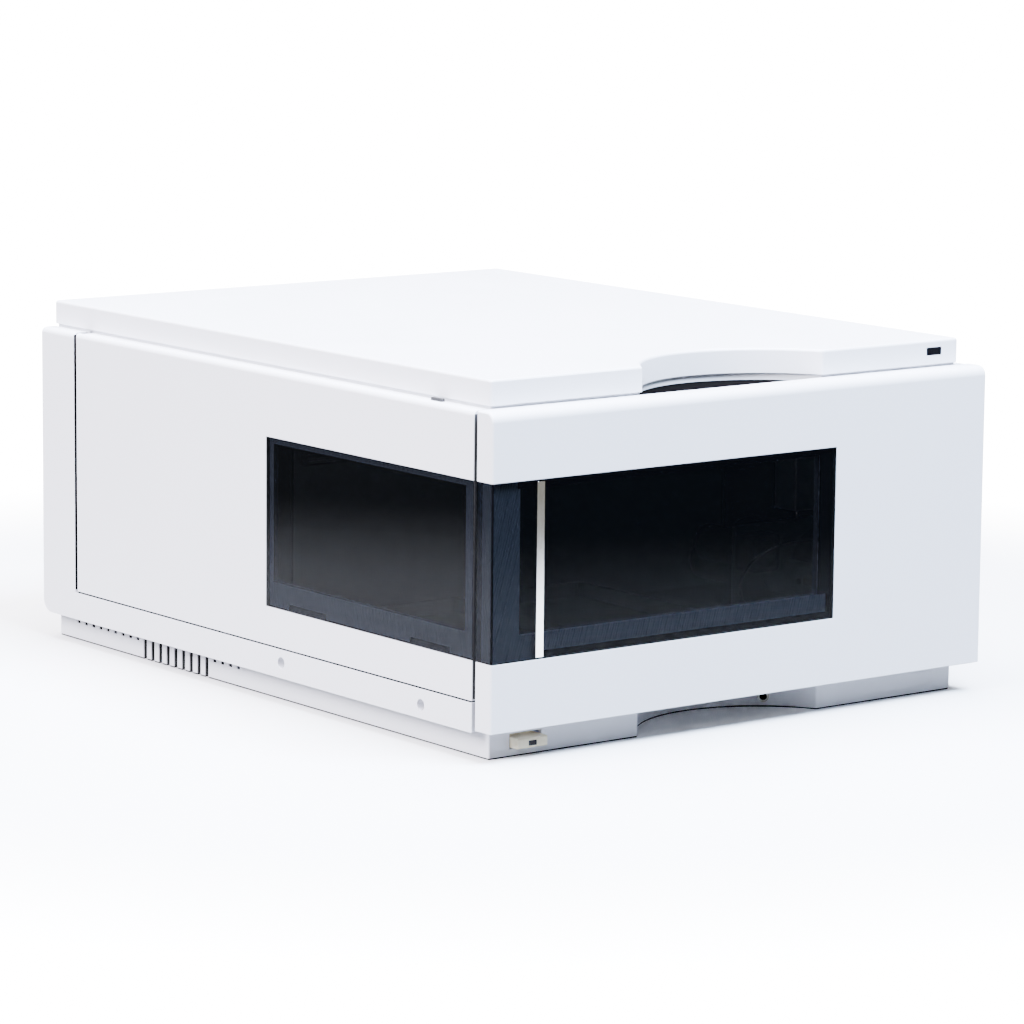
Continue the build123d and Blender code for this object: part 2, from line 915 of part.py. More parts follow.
# Side latch: a small sprung button through the side door's top lip
with BuildPart() as side_latch:
    latch_x = (left + latch_from_side, left + latch_from_side + latch_wide)
    latch_y = (front + latch_from_front, front + latch_from_front + latch_long)
    block(latch_x, latch_y, (panel_top - skin, panel_top + latch_high))
    fillet(side_latch.edges().group_by(Axis.Z)[-1], latch_round)
    block(
        (latch_x[0] - latch_head, latch_x[1] + latch_head),
        (latch_y[0] - latch_head, latch_y[1] + latch_head),
        (panel_top - skin - fit_gap - latch_head, panel_top - skin - fit_gap),
    )
    block(latch_x, latch_y, (panel_top - skin - fit_gap, panel_top - skin))
pieces["side_latch"] = side_latch


def screw_boss(face_x, inward):
    """Add the two screw bosses of a side panel, with their counterbored holes."""
    reach = right - skin - chassis_half
    for from_door, height_up in screw_places:
        inner_face = face_x + inward * skin
        bar((inner_face, front + from_door, height_up), (inward, 0, 0), boss_radius, reach)
    for from_door, height_up in screw_places:
        start = (face_x - inward * overrun, front + from_door, height_up)
        deep = overrun + skin + reach
        bar(start, (inward, 0, 0), screw_hole_radius, deep - boss_floor, Mode.SUBTRACT)
        bar(start, (inward, 0, 0), screw_shank_radius + bore_gap, deep + overrun, Mode.SUBTRACT)


# Left side panel: the rear strip, the lower strip under the side door and the return at the rear
with BuildPart() as left_side_panel:
    strip_top = side_door_bottom - lower_seam
    strip_front = side_door_rear + door_seam
    with BuildSketch(Plane.YZ.offset(left)):
        with BuildLine():
            Polyline(
                (panel_front, panel_bottom),
                (rear, panel_bottom),
                (rear, panel_top),
                (strip_front, panel_top),
                (strip_front, strip_top),
                (panel_front, strip_top),
                close=True,
            )
        left_outline = make_face()
        fillet(left_outline.vertices().group_by(Axis.Y)[0].sort_by(Axis.X)[-1], panel_corner)
    extrude(amount=skin)
    block((left, left + lip_wide), (strip_front, rear), (panel_top - skin, panel_top))
    add(edge_waste(left, 1, strip_front, rear), mode=Mode.SUBTRACT)
    block(
        (left, left + panel_return),
        (rear_panel_outer, rear_panel_outer + skin),
        (panel_bottom + panel_corner, panel_top - skin),
    )
    screw_boss(left, 1)
pieces["left_side_panel"] = left_side_panel

# Right side panel: one plain sheet with the same lip and return
with BuildPart() as right_side_panel:
    with BuildSketch(Plane.YZ.offset(right - skin)):
        with BuildLine():
            Polyline(
                (panel_front, panel_bottom),
                (rear, panel_bottom),
                (rear, panel_top),
                (panel_front, panel_top),
                close=True,
            )
        right_outline = make_face()
        fillet(right_outline.vertices().group_by(Axis.Y)[0].sort_by(Axis.X)[-1], panel_corner)
    extrude(amount=skin)
    block((right - lip_wide, right), (panel_front, rear), (panel_top - skin, panel_top))
    add(edge_waste(right, -1, panel_front, rear), mode=Mode.SUBTRACT)
    block(
        (right - panel_return, right - skin),
        (rear_panel_outer, rear_panel_outer + skin),
        (panel_bottom + panel_corner, panel_top - skin),
    )
    screw_boss(right, -1)
pieces["right_side_panel"] = right_side_panel


def add_screw(start, way, head_radius, head_high, shank_radius, shank_long):
    """Add a slotted screw: its head sits on the start point and its shank runs one way."""
    outward = tuple(-a for a in way)
    bar(start, outward, head_radius, head_high)
    bar(start, way, shank_radius, shank_long)


# Chassis sides, standing in the base tray; the left one has the opening that the window looks into
for side, node in ((-1, "chassis_left"), (1, "chassis_right")):
    with BuildPart() as chassis_side:
        side_x = sorted((side * wall_inside, side * chassis_half))
        block(side_x, (chassis_front, rear_panel_inner), (base_top + fit_gap, deck_bottom))
        block(side_x, (chassis_front, base_rear - chassis_setback - fit_gap), (base_floor, base_top + fit_gap))
        if side < 0:
            block(
                (side_x[0] - overrun, side_x[1] + overrun),
                (front + view_first_from_front, front + view_last_from_front),
                (view_bottom, view_top),
                Mode.SUBTRACT,
            )
        for from_door, height_up in screw_places:
            start = (side * (chassis_half + overrun), front + from_door, height_up)
            bar(start, (-side, 0, 0), screw_shank_radius + bore_gap, sheet + 2 * overrun, Mode.SUBTRACT)
    pieces[node] = chassis_side

# Bulkhead between the sample chamber and the electronics
with BuildPart() as bulkhead:
    block(about(0, wall_inside), (bulkhead_front, bulkhead_back), (base_floor, deck_bottom))
    for x, z, radius in (
        (drive_pulley_x, drive_height, axle_radius + overrun),
        (button_x, button_z, rod_radius + overrun),
    ):
        start = (x, bulkhead_front - overrun, z)
        bar(start, along_y, radius, sheet + 2 * overrun, Mode.SUBTRACT)
pieces["bulkhead"] = bulkhead

# Rear panel with openings for the mains inlet, the connectors and the fan
with BuildPart() as rear_panel:
    panel_y = (rear_panel_inner - overrun, rear_panel_outer + overrun)
    block(about(0, chassis_half), (rear_panel_inner, rear_panel_outer), (base_top, deck_bottom))
    block(about(inlet_x, inlet_half_x), panel_y, about(inlet_z, inlet_half_z), Mode.SUBTRACT)
    bar((fan_x, panel_y[0], fan_z), along_y, fan_bore, sheet + 2 * overrun, Mode.SUBTRACT)
    for z, half in [(z, signal_half) for z in signal_heights] + [(network_height, network_half)]:
        port_x = (board_x + board_thick - fit_gap, board_x + board_thick + port_wide + fit_gap)
        block(port_x, panel_y, about(z, half + fit_gap), Mode.SUBTRACT)
    for x in about(fan_x, fan_screw_offset):
        for z in about(fan_z, fan_screw_offset):
            bar((x, panel_y[0], z), along_y, screw_shank_radius, sheet + 2 * overrun, Mode.SUBTRACT)
pieces["rear_panel"] = rear_panel

# Chamber floor: a drip pan with a rim in front, a raised bed for the tray and a drain hole
with BuildPart() as chamber_floor:
    block(about(0, wall_inside), (chassis_front, bulkhead_front), (floor_bottom, floor_top))
    rim_y = (chassis_front, chassis_front + floor_rim_wide)
    block(about(0, wall_inside), rim_y, (floor_top, floor_top + floor_rim_high))
    block((tray_left, tray_right), (tray_front, tray_rear), (floor_top, tray_bottom))
    drain_hole = (drain_pan_x, front + drain_pan_from_front, floor_bottom - overrun)
    bar(drain_hole, along_z, drain_tube_radius, floor_thick + 2 * overrun, Mode.SUBTRACT)
pieces["chamber_floor"] = chamber_floor

# Plate tray: two nests for well plates and a row of vial sockets in front
with BuildPart() as plate_tray:
    block((tray_left, tray_right), (tray_front, tray_rear), (tray_bottom, tray_top))
    fillet(plate_tray.edges().filter_by(Axis.Z), tray_corner)
    nest_step = nest_wide + nest_between
    for nest_x in about(tray_middle, nest_step / 2):
        block(
            about(nest_x, nest_wide / 2),
            (nest_rear - nest_long, nest_rear),
            (tray_top - nest_deep, tray_top + overrun),
            Mode.SUBTRACT,
        )
    with BuildSketch(Plane.XY.offset(tray_top)):
        with Locations((tray_middle, tray_front + vial_from_tray_front)):
            with GridLocations(vial_pitch, vial_pitch, vial_count, 1):
                Circle(vial_radius)
    extrude(amount=-vial_deep, mode=Mode.SUBTRACT)
pieces["plate_tray"] = plate_tray

# Rails for the carriage, from side to side of the chassis, and the axle of the idler pulley
with BuildPart() as rails_and_axle:
    for z in about(drive_height, rail_offset):
        bar((-wall_inside, rail_y, z), along_x, rail_radius, 2 * wall_inside)
    axle_start = rail_y - pulley_half - pulley_flange
    bar((idler_x, axle_start, drive_height), along_y, axle_radius, bulkhead_front - axle_start)
    collar_start = rail_y + pulley_half + fit_gap
    bar((idler_x, collar_start, drive_height), along_y, axle_collar_radius, bulkhead_front - collar_start)
pieces["rails_and_axle"] = rails_and_axle

# Carriage: a block on both rails, with a slot for the belt and a shelf for the swing motor
with BuildPart() as x_carriage:
    carriage_x = about(carriage_rest, carriage_half)
    block(carriage_x, about(rail_y, carriage_half_deep), about(drive_height, carriage_low))
    slot_x = (carriage_x[0] - overrun, carriage_x[1] + overrun)
    block(slot_x, about(rail_y, slot_half_deep), about(drive_height, slot_half_high), Mode.SUBTRACT)
    for z in about(drive_height, rail_offset):
        start = (slot_x[0], rail_y, z)
        bar(start, along_x, rail_radius + bore_gap, slot_x[1] - slot_x[0], Mode.SUBTRACT)
    block(
        about(carriage_rest, shelf_half),
        (pivot_y, rail_y - carriage_half_deep),
        (shelf_bottom, shelf_top),
    )
    bar((carriage_rest, pivot_y, shelf_bottom), along_z, shelf_half, shelf_thick)
    bore = (carriage_rest, pivot_y, shelf_bottom - overrun)
    bar(bore, along_z, shaft_radius + bore_gap, shelf_thick + 2 * overrun, Mode.SUBTRACT)
pieces["x_carriage"] = x_carriage

with BuildPart() as swing_motor:
    bar((carriage_rest, pivot_y, shelf_top), along_z, swing_motor_radius, swing_motor_high)
    fillet(swing_motor.edges().group_by(Axis.Z)[-1], swing_corner)
    bore_high = shaft_high - shelf_thick
    bore = (carriage_rest, pivot_y, shelf_top - overrun)
    bar(bore, along_z, shaft_radius + fit_gap, bore_high + overrun, Mode.SUBTRACT)
pieces["swing_motor"] = swing_motor

# Swing arm: hub and shaft, a beam and the column that guides the needle carrier
with BuildPart() as swing_arm:
    bar((carriage_rest, pivot_y, hub_top - hub_high), along_z, hub_radius, hub_high)
    bar((carriage_rest, pivot_y, hub_top), along_z, shaft_radius, shaft_high - 2 * fit_gap)
    beam_z = (hub_top - hub_high, hub_top - hub_high + beam_high)
    block(about(carriage_rest, beam_half), (needle_y, pivot_y), beam_z)
    block(
        about(carriage_rest, column_half),
        about(needle_y, column_half),
        (column_bottom, column_top),
    )
    fillet(swing_arm.edges().filter_by(Axis.Z).group_by(Axis.Y)[0], swing_corner)
    block(
        about(carriage_rest, slider_half + fit_gap),
        about(needle_y, slider_half + fit_gap),
        (column_bottom - overrun, column_top + overrun),
        Mode.SUBTRACT,
    )
pieces["swing_arm"] = swing_arm

# Needle carrier: the square slider inside the column
with BuildPart() as needle_carrier:
    block(
        about(carriage_rest, slider_half),
        about(needle_y, slider_half),
        (slider_bottom, slider_top),
    )
    chamfer(needle_carrier.edges().group_by(Axis.Z)[0], slider_chamfer)
pieces["needle_carrier"] = needle_carrier

with BuildPart() as needle:
    tip = (carriage_rest, needle_y, needle_tip)
    bar(tip, along_z, needle_radius, slider_bottom - needle_tip)
    chamfer(needle.edges().group_by(Axis.Z)[0], needle_radius * needle_point_share)
    collar = (carriage_rest, needle_y, slider_bottom - needle_collar_high)
    bar(collar, along_z, needle_collar_radius, needle_collar_high)
pieces["needle"] = needle

# Belt: a flat loop round both pulleys
with BuildPart() as belt:
    belt_middle = (drive_pulley_x + idler_x) / 2
    belt_span = drive_pulley_x - idler_x
    belt_inside = pulley_radius + fit_gap
    belt_plane = Plane(origin=(0, rail_y + belt_half, 0), x_dir=along_x, z_dir=toward_front)
    with BuildSketch(belt_plane):
        with Locations((belt_middle, drive_height)):
            SlotCenterToCenter(belt_span, 2 * (belt_inside + belt_thick))
            SlotCenterToCenter(belt_span, 2 * belt_inside, mode=Mode.SUBTRACT)
    extrude(amount=2 * belt_half)
pieces["belt"] = belt


def add_pulley(x):
    """Add a toothed pulley with a flange at each end, on the belt's line."""
    start = rail_y - pulley_half
    bar((x, start, drive_height), along_y, pulley_radius, 2 * pulley_half)
    for tooth in range(pulley_tooth_count):
        angle = radians(tooth * 360 / pulley_tooth_count)
        groove_x = x + pulley_radius * cos(angle)
        groove_z = drive_height + pulley_radius * sin(angle)
        groove = (groove_x, start - overrun, groove_z)
        bar(groove, along_y, pulley_tooth_deep, 2 * (pulley_half + overrun), Mode.SUBTRACT)
    for y in (start, rail_y + pulley_half - pulley_flange):
        bar((x, y, drive_height), along_y, pulley_flange_radius, pulley_flange)


# Drive pulley, on the motor's shaft through the bulkhead
with BuildPart() as drive_pulley:
    add_pulley(drive_pulley_x)
    shaft_long = bulkhead_back + motor_shaft_in - rail_y
    bar((drive_pulley_x, rail_y, drive_height), along_y, axle_radius, shaft_long)
pieces["drive_pulley"] = drive_pulley

with BuildPart() as idler_pulley:
    add_pulley(idler_x)
    bore = (idler_x, rail_y - pulley_half - overrun, drive_height)
    bar(bore, along_y, axle_radius + bore_gap, 2 * (pulley_half + overrun), Mode.SUBTRACT)
pieces["idler_pulley"] = idler_pulley

with BuildPart() as carriage_motor:
    block(
        about(drive_pulley_x, motor_half),
        (bulkhead_back, bulkhead_back + motor_long),
        about(drive_height, motor_half),
    )
    chamfer(carriage_motor.edges().filter_by(Axis.Y), motor_corner)
    bore = (drive_pulley_x, bulkhead_back - overrun, drive_height)
    bar(bore, along_y, axle_radius + fit_gap, motor_shaft_in + 2 * overrun, Mode.SUBTRACT)
pieces["carriage_motor"] = carriage_motor

# Sampling unit frame: an upright plate on a foot
with BuildPart() as sampling_frame:
    block((unit_left, unit_right), (unit_face, unit_back), (floor_top, unit_top))
    block((unit_left, unit_right), (unit_face - unit_foot, unit_face), (floor_top, floor_top + unit_plate))
    for x, z, radius in (
        (valve_x, valve_z, rotor_shaft_radius + bore_gap),
        (meter_x, meter_z, plunger_radius + fit_gap),
        (pump_x, pump_z, pump_shaft_radius + bore_gap),
    ):
        start = (x, unit_face - overrun, z)
        bar(start, along_y, radius, unit_plate + 2 * overrun, Mode.SUBTRACT)
pieces["sampling_frame"] = sampling_frame

port_places = []
for port in range(port_count):
    port_angle = radians((port + 0.5) * 360 / port_count)
    port_places.append((valve_x + port_circle * cos(port_angle), valve_z + port_circle * sin(port_angle)))
valve_face = unit_face - valve_long

# Injection valve head: a cup for the rotor with a ring of ports in its face
with BuildPart() as valve_head:
    bar((valve_x, valve_face, valve_z), along_y, valve_radius, valve_long)
    chamfer(valve_head.edges().group_by(Axis.Y)[0], edge_round)
    cavity_deep = rotor_thick + 2 * fit_gap
    cavity = (valve_x, unit_face - cavity_deep, valve_z)
    bar(cavity, along_y, rotor_radius + fit_gap, cavity_deep + overrun, Mode.SUBTRACT)
    for x, z in port_places:
        bar((x, valve_face - overrun, z), along_y, port_radius, port_deep + overrun, Mode.SUBTRACT)
        bar((x, valve_face, z), along_y, port_bore, valve_long - cavity_deep, Mode.SUBTRACT)
pieces["valve_head"] = valve_head

with BuildPart() as valve_rotor:
    rotor_start = unit_face - fit_gap - rotor_thick
    bar((valve_x, rotor_start, valve_z), along_y, rotor_radius, rotor_thick)
    bar((valve_x, unit_face - fit_gap, valve_z), along_y, rotor_shaft_radius, rotor_shaft_long)
    for x, z in port_places[::2]:
        bar((x, rotor_start, z), along_y, port_bore, port_bore, Mode.SUBTRACT)
pieces["valve_rotor"] = valve_rotor

# Port fittings: a nut with a ferrule end in each port of the valve, and one in the metering head
with BuildPart() as port_fittings:
    fitting_places = [(x, valve_face, z) for x, z in port_places]
    fitting_places.append((meter_x, unit_face - meter_long, meter_z))
    for place in fitting_places:
        bar(place, toward_front, nut_radius, nut_long)
        bar(place, along_y, port_radius, port_deep)
    for place in fitting_places:
        bore = (place[0], place[1] - nut_long - overrun, place[2])
        bar(bore, along_y, capillary_radius, nut_long + port_deep + 2 * overrun, Mode.SUBTRACT)
pieces["port_fittings"] = port_fittings

# Metering head and its plunger
with BuildPart() as metering_head:
    head_face = unit_face - meter_long
    bar((meter_x, head_face, meter_z), along_y, meter_radius, meter_long)
    chamfer(metering_head.edges().group_by(Axis.Y)[0], edge_round)
    bar((meter_x, head_face - overrun, meter_z), along_y, port_radius, port_deep + overrun, Mode.SUBTRACT)
    chamber = (meter_x, head_face + plunger_start, meter_z)
    bar(chamber, along_y, plunger_radius + fit_gap, meter_long, Mode.SUBTRACT)
pieces["metering_head"] = metering_head

with BuildPart() as metering_plunger:
    plunger_y = head_face + plunger_start + fit_gap
    bar((meter_x, plunger_y, meter_z), along_y, plunger_radius, plunger_long)
    collar = (meter_x, plunger_y + plunger_long, meter_z)
    bar(collar, along_y, plunger_collar_radius, plunger_collar_long)
pieces["metering_plunger"] = metering_plunger

# Wash pump: cassette and rotor with its rollers
pump_face = unit_face - pump_long
with BuildPart() as pump_cassette:
    block(about(pump_x, pump_half), (pump_face, unit_face), about(pump_z, pump_half))
    fillet(pump_cassette.edges().filter_by(Axis.Y), motor_corner)
    cavity = (pump_x, pump_face - overrun, pump_z)
    bar(cavity, along_y, pump_cavity, pump_long - pump_back_thick + overrun, Mode.SUBTRACT)
    bar(cavity, along_y, pump_shaft_radius + bore_gap, pump_long + 2 * overrun, Mode.SUBTRACT)
pieces["pump_cassette"] = pump_cassette

with BuildPart() as pump_rotor:
    rotor_long = pump_long - pump_back_thick - fit_gap
    bar((pump_x, pump_face, pump_z), along_y, pump_hub_radius, rotor_long)
    bar((pump_x, pump_face, pump_z), along_y, pump_shaft_radius, pump_long + unit_plate + pump_shaft_in)
    for roller in range(roller_count):
        angle = radians(90 + roller * 360 / roller_count)
        x = pump_x + roller_circle * cos(angle)
        z = pump_z + roller_circle * sin(angle)
        bar((x, pump_face, z), along_y, roller_radius, rotor_long)
    bar((pump_x, pump_face, pump_z), along_y, pump_plate_radius, pump_plate_thick)
pieces["pump_rotor"] = pump_rotor

# Drives of the sampling unit, behind its frame: valve, metering and pump
with BuildPart() as sampling_drives:
    for x, z, radius, long in (
        (valve_x, valve_z, valve_drive_radius, valve_drive_long),
        (meter_x, meter_z, meter_drive_radius, meter_drive_long),
        (pump_x, pump_z, pump_motor_radius, pump_motor_long),
    ):
        bar((x, unit_back, z), along_y, radius, long)
    collar_y = plunger_y + plunger_long - fit_gap
    collar_room = plunger_collar_long + plunger_travel + 2 * fit_gap
    for x, z, radius, start, long in (
        (valve_x, valve_z, rotor_shaft_radius, unit_back - overrun, rotor_shaft_long + overrun),
        (meter_x, meter_z, plunger_radius, unit_back - overrun, collar_y - unit_back + overrun),
        (meter_x, meter_z, plunger_collar_radius, collar_y, collar_room),
        (pump_x, pump_z, pump_shaft_radius, unit_back - overrun, pump_shaft_in + 2 * overrun),
    ):
        bar((x, start, z), along_y, radius + fit_gap, long, Mode.SUBTRACT)
pieces["sampling_drives"] = sampling_drives

# Seat bracket with the needle seat and the wash port on it
bracket_top = bracket_bottom + bracket_thick
with BuildPart() as seat_bracket:
    block(
        (bracket_left, bracket_right),
        (unit_face - bracket_from_face, unit_face),
        (bracket_bottom, bracket_top),
    )
    fillet(seat_bracket.edges().filter_by(Axis.Z).group_by(Axis.Y)[0], motor_corner)
pieces["seat_bracket"] = seat_bracket

with BuildPart() as seat_and_wash_port:
    for x in (carriage_rest, wash_x):
        bar((x, needle_y, bracket_top), along_z, seat_radius, seat_high)
    chamfer(seat_and_wash_port.edges().group_by(Axis.Z)[-1], edge_round)
    for x, radius, deep in (
        (carriage_rest, seat_bore, seat_deep),
        (wash_x, wash_bore, wash_deep),
    ):
        bore = (x, needle_y, bracket_top + seat_high - deep)
        bar(bore, along_z, radius, deep + overrun, Mode.SUBTRACT)
pieces["seat_and_wash_port"] = seat_and_wash_port

# Capillaries, as x, distance from the front and height: seat to valve, and metering head to valve
seat_route = [
    (carriage_rest - seat_radius - fit_gap, pivot_from_front - swing_reach, 49.0),
    (66.0, 51.5, 49.5),
    (50.0, 48.0, 51.5),
    (34.0, 43.0, 58.0),
    (27.0, 39.0, 71.0),
    (35.0, 36.0, 84.0),
    (53.0, 34.0, 91.0),
    (74.0, 32.0, 92.0),
    (95.0, 30.0, 88.0),
    (113.0, 29.0, 80.0),
    (port_places[2][0], 33.0, 74.0),
    (port_places[2][0], unit_face_from_front - valve_long - nut_long, port_places[2][1]),
]
meter_route = [
    (meter_x, unit_face_from_front - meter_long - nut_long, meter_z),
    (98.0, 41.0, 61.0),
    (105.0, 32.0, 58.0),
    (116.0, 31.0, 56.0),
    (port_places[3][0], 36.0, 60.5),
    (port_places[3][0], unit_face_from_front - valve_long - nut_long, port_places[3][1]),
]
seat_line = tube(from_front(seat_route), capillary_radius)
meter_line = tube(from_front(meter_route), capillary_radius)
with BuildPart() as capillaries:
    add(seat_line.part)
    add(meter_line.part)
pieces["capillaries"] = capillaries

# Drain: a spigot through the arch wall of the base, moulded on the tube that comes down from the pan
with BuildPart() as drain_spigot:
    shoulder = along(drain_wall, drain_out_way, drain_shoulder)
    spigot_long = drain_shoulder + base_wall + drain_in
    bar(shoulder, drain_in_way, drain_collar_radius, spigot_long)
    bar(shoulder, drain_out_way, drain_radius, drain_free)
    start = along(shoulder, drain_out_way, drain_free + overrun)
    bar(start, drain_in_way, drain_bore, drain_free + base_wall + 2 * overrun, Mode.SUBTRACT)
    spigot_end = along(drain_wall, drain_in_way, base_wall + drain_in - overrun)
    drain_elbow = (drain_pan_x, front + drain_pan_from_front, drain_height)
    with BuildLine() as drain_path:
        FilletPolyline(
            (drain_pan_x, front + drain_pan_from_front, floor_bottom + floor_thick),
            drain_elbow,
            spigot_end,
            radius=drain_bend,
        )
    with BuildSketch(Plane(origin=drain_path.line @ 0, z_dir=drain_path.line % 0)):
        Circle(drain_tube_radius)
    sweep()
pieces["drain_spigot"] = drain_spigot

with BuildPart() as leak_sensor:
    bar((sensor_x, sensor_y, floor_top), along_z, sensor_radius, sensor_high)
    chamfer(leak_sensor.edges().group_by(Axis.Z)[-1], sensor_chamfer)
pieces["leak_sensor"] = leak_sensor

# Power button, its lens and the rod that reaches the mains switch
button_x_span = (button_left, button_right)
with BuildPart() as power_button:
    block(button_x_span, (base_front - button_out, base_front + button_in), (button_bottom, button_top))
    fillet(power_button.edges().group_by(Axis.Y)[0], button_round)
    block(
        (button_lens_left, button_lens_right),
        (base_front - button_out - overrun, base_front - button_out + button_lens_deep),
        (button_lens_bottom, button_lens_top),
        Mode.SUBTRACT,
    )
pieces["power_button"] = power_button

with BuildPart() as button_lens:
    block(
        (button_lens_left, button_lens_right),
        (base_front - button_out, base_front - button_out + button_lens_deep),
        (button_lens_bottom, button_lens_top),
    )
pieces["button_lens"] = button_lens

with BuildPart() as switch_rod:
    rod_start = base_front + button_in
    bar((button_x, rod_start, button_z), along_y, rod_radius, supply_front - switch_depth - rod_start)
pieces["switch_rod"] = switch_rod

# Power supply: a metal box with rows of slots in its top and the mains switch on its front
with BuildPart() as power_supply:
    block((supply_left, supply_right), (supply_front, supply_rear), (base_floor, supply_top))
    chamfer(power_supply.edges().group_by(Axis.Z)[-1], edge_round)
    supply_x = (supply_left + supply_right) / 2
    with BuildSketch(Plane.XY.offset(supply_top)):
        with Locations((supply_x, (supply_front + supply_rear) / 2)):
            with GridLocations(supply_slot_pitch, supply_slot_pitch, 1, supply_slot_count):
                SlotOverall(supply_slot_long, supply_slot_wide)
    extrude(amount=-supply_slot_deep, mode=Mode.SUBTRACT)
    block(
        about(button_x, switch_half),
        (supply_front - switch_long, supply_front),
        (base_floor, base_floor + switch_high),
    )
    bore = (button_x, supply_front - switch_long - overrun, button_z)
    bar(bore, along_y, rod_radius + fit_gap, switch_long + overrun, Mode.SUBTRACT)
pieces["power_supply"] = power_supply

# Mains inlet with its three pins
with BuildPart() as mains_inlet:
    inlet_face = rear_panel_outer + inlet_flange
    block(
        about(inlet_x, inlet_half_x - fit_gap),
        (supply_rear, rear_panel_outer),
        about(inlet_z, inlet_half_z - fit_gap),
    )
    block(
        about(inlet_x, inlet_flange_x),
        (rear_panel_outer, inlet_face),
        about(inlet_z, inlet_flange_z),
    )
    fillet(mains_inlet.edges().filter_by(Axis.Y).group_by(Axis.Y)[-1], button_round)
    block(
        about(inlet_x, inlet_hole_x),
        (inlet_face - inlet_deep, inlet_face + overrun),
        about(inlet_z, inlet_hole_z),
        Mode.SUBTRACT,
    )
    for step in (-1, 0, 1):
        raised = inlet_z + (inlet_pin_raise if step == 0 else -inlet_pin_raise)
        block(
            about(inlet_x + step * inlet_pin_pitch, inlet_pin_half_x),
            (inlet_face - inlet_deep, inlet_face - inlet_deep + inlet_pin_long),
            about(raised, inlet_pin_half_z),
        )
pieces["mains_inlet"] = mains_inlet

# Main board with the parts on it
with BuildPart() as main_board:
    block((board_x, board_x + board_thick), (bulkhead_back, rear_panel_inner), (board_bottom, board_top))
    for column in range(chip_columns):
        for z in chip_rows:
            chip_y = front + chip_first_from_front + column * chip_pitch
            block((board_x - chip_high, board_x), about(chip_y, chip_long / 2), about(z, chip_tall / 2))
pieces["main_board"] = main_board

# Rear sockets at the board's edge: three for signals and one for the network
port_span = (board_x + board_thick, board_x + board_thick + port_wide)
with BuildPart() as rear_sockets:
    for z in signal_heights:
        socket_y = (rear_panel_inner - port_in, rear_panel_outer)
        block(port_span, socket_y, about(z, signal_half))
        inner_span = (port_span[0] + signal_chamfer, port_span[1] - signal_chamfer)
        shell_z = about(z, signal_half - 2 * signal_chamfer)
        block(inner_span, (rear_panel_outer, rear_panel_outer + port_out), shell_z)
    socket_y = (rear_panel_inner - port_in, rear_panel_outer + network_wall)
    block(port_span, socket_y, about(network_height, network_half))
    block(
        (port_span[0] + network_wall, port_span[1] - network_wall),
        (rear_panel_inner, rear_panel_outer + network_wall + overrun),
        about(network_height, network_half - network_wall),
        Mode.SUBTRACT,
    )
pieces["rear_sockets"] = rear_sockets

# Fan: frame with a hub on struts, impeller and guard
fan_front = rear_panel_inner - fan_deep
with BuildPart() as fan_frame:
    block(about(fan_x, fan_half), (fan_front, rear_panel_inner), about(fan_z, fan_half))
    fillet(fan_frame.edges().filter_by(Axis.Y), fan_corner)
    bar((fan_x, fan_front - overrun, fan_z), along_y, fan_bore, fan_deep + 2 * overrun, Mode.SUBTRACT)
    hub_start = (fan_x, fan_front, fan_z)
    bar(hub_start, along_y, fan_hub, fan_hub_wall)
    for strut in range(fan_strut_count):
        angle = radians(90 + strut * 360 / fan_strut_count)
        strut_way = (cos(angle), 0, sin(angle))
        strut_plane = Plane(origin=hub_start, x_dir=strut_way, z_dir=along_y)
        with Locations(strut_plane):
            Box(
                fan_bore + overrun,
                2 * fan_strut_half,
                fan_hub_wall,
                align=(Align.MIN, Align.CENTER, Align.MIN),
            )
    bar((fan_x, fan_front - overrun, fan_z), along_y, pump_shaft_radius + bore_gap, fan_deep, Mode.SUBTRACT)
pieces["fan_frame"] = fan_frame

# Fan impeller: a hub with pitched blades and a short shaft in the frame's hub
with BuildPart() as fan_impeller:
    hub_y = fan_front + fan_hub_wall + fit_gap
    hub_long = fan_deep - fan_hub_wall - 2 * fan_tip_gap
    bar((fan_x, hub_y, fan_z), along_y, fan_hub, hub_long)
    bar((fan_x, fan_front + fit_gap, fan_z), along_y, pump_shaft_radius, hub_y - fan_front)
    blade_long = fan_bore - fan_tip_gap - fan_hub
    blade_plane = Plane(origin=(fan_x, hub_y + hub_long / 2, fan_z), x_dir=along_x, z_dir=along_y)
    with Locations(blade_plane):
        with PolarLocations(fan_hub - overrun, blade_count):
            Box(
                blade_long,
                blade_thick,
                blade_chord,
                rotation=(blade_pitch_angle, 0, 0),
                align=(Align.MIN, Align.CENTER, Align.CENTER),
            )
pieces["fan_impeller"] = fan_impeller

# Fan guard: rings on four arms, each arm ending in an eye over a screw
guard_plane = Plane(origin=(fan_x, rear_panel_outer, fan_z), x_dir=along_x, z_dir=along_y)
with BuildPart() as fan_guard:
    with BuildSketch(guard_plane):
        for ring in guard_rings:
            Circle(ring)
            Circle(ring - guard_ring_wide, mode=Mode.SUBTRACT)
        for turn in (45, 135):
            Rectangle(2 * sqrt(2) * fan_screw_offset, guard_ring_wide, rotation=turn)
        with GridLocations(2 * fan_screw_offset, 2 * fan_screw_offset, 2, 2):
            Circle(guard_eye)
    extrude(amount=guard_thick)
    with BuildSketch(guard_plane):
        with GridLocations(2 * fan_screw_offset, 2 * fan_screw_offset, 2, 2):
            Circle(screw_shank_radius + bore_gap)
    extrude(amount=guard_thick, mode=Mode.SUBTRACT)
pieces["fan_guard"] = fan_guard

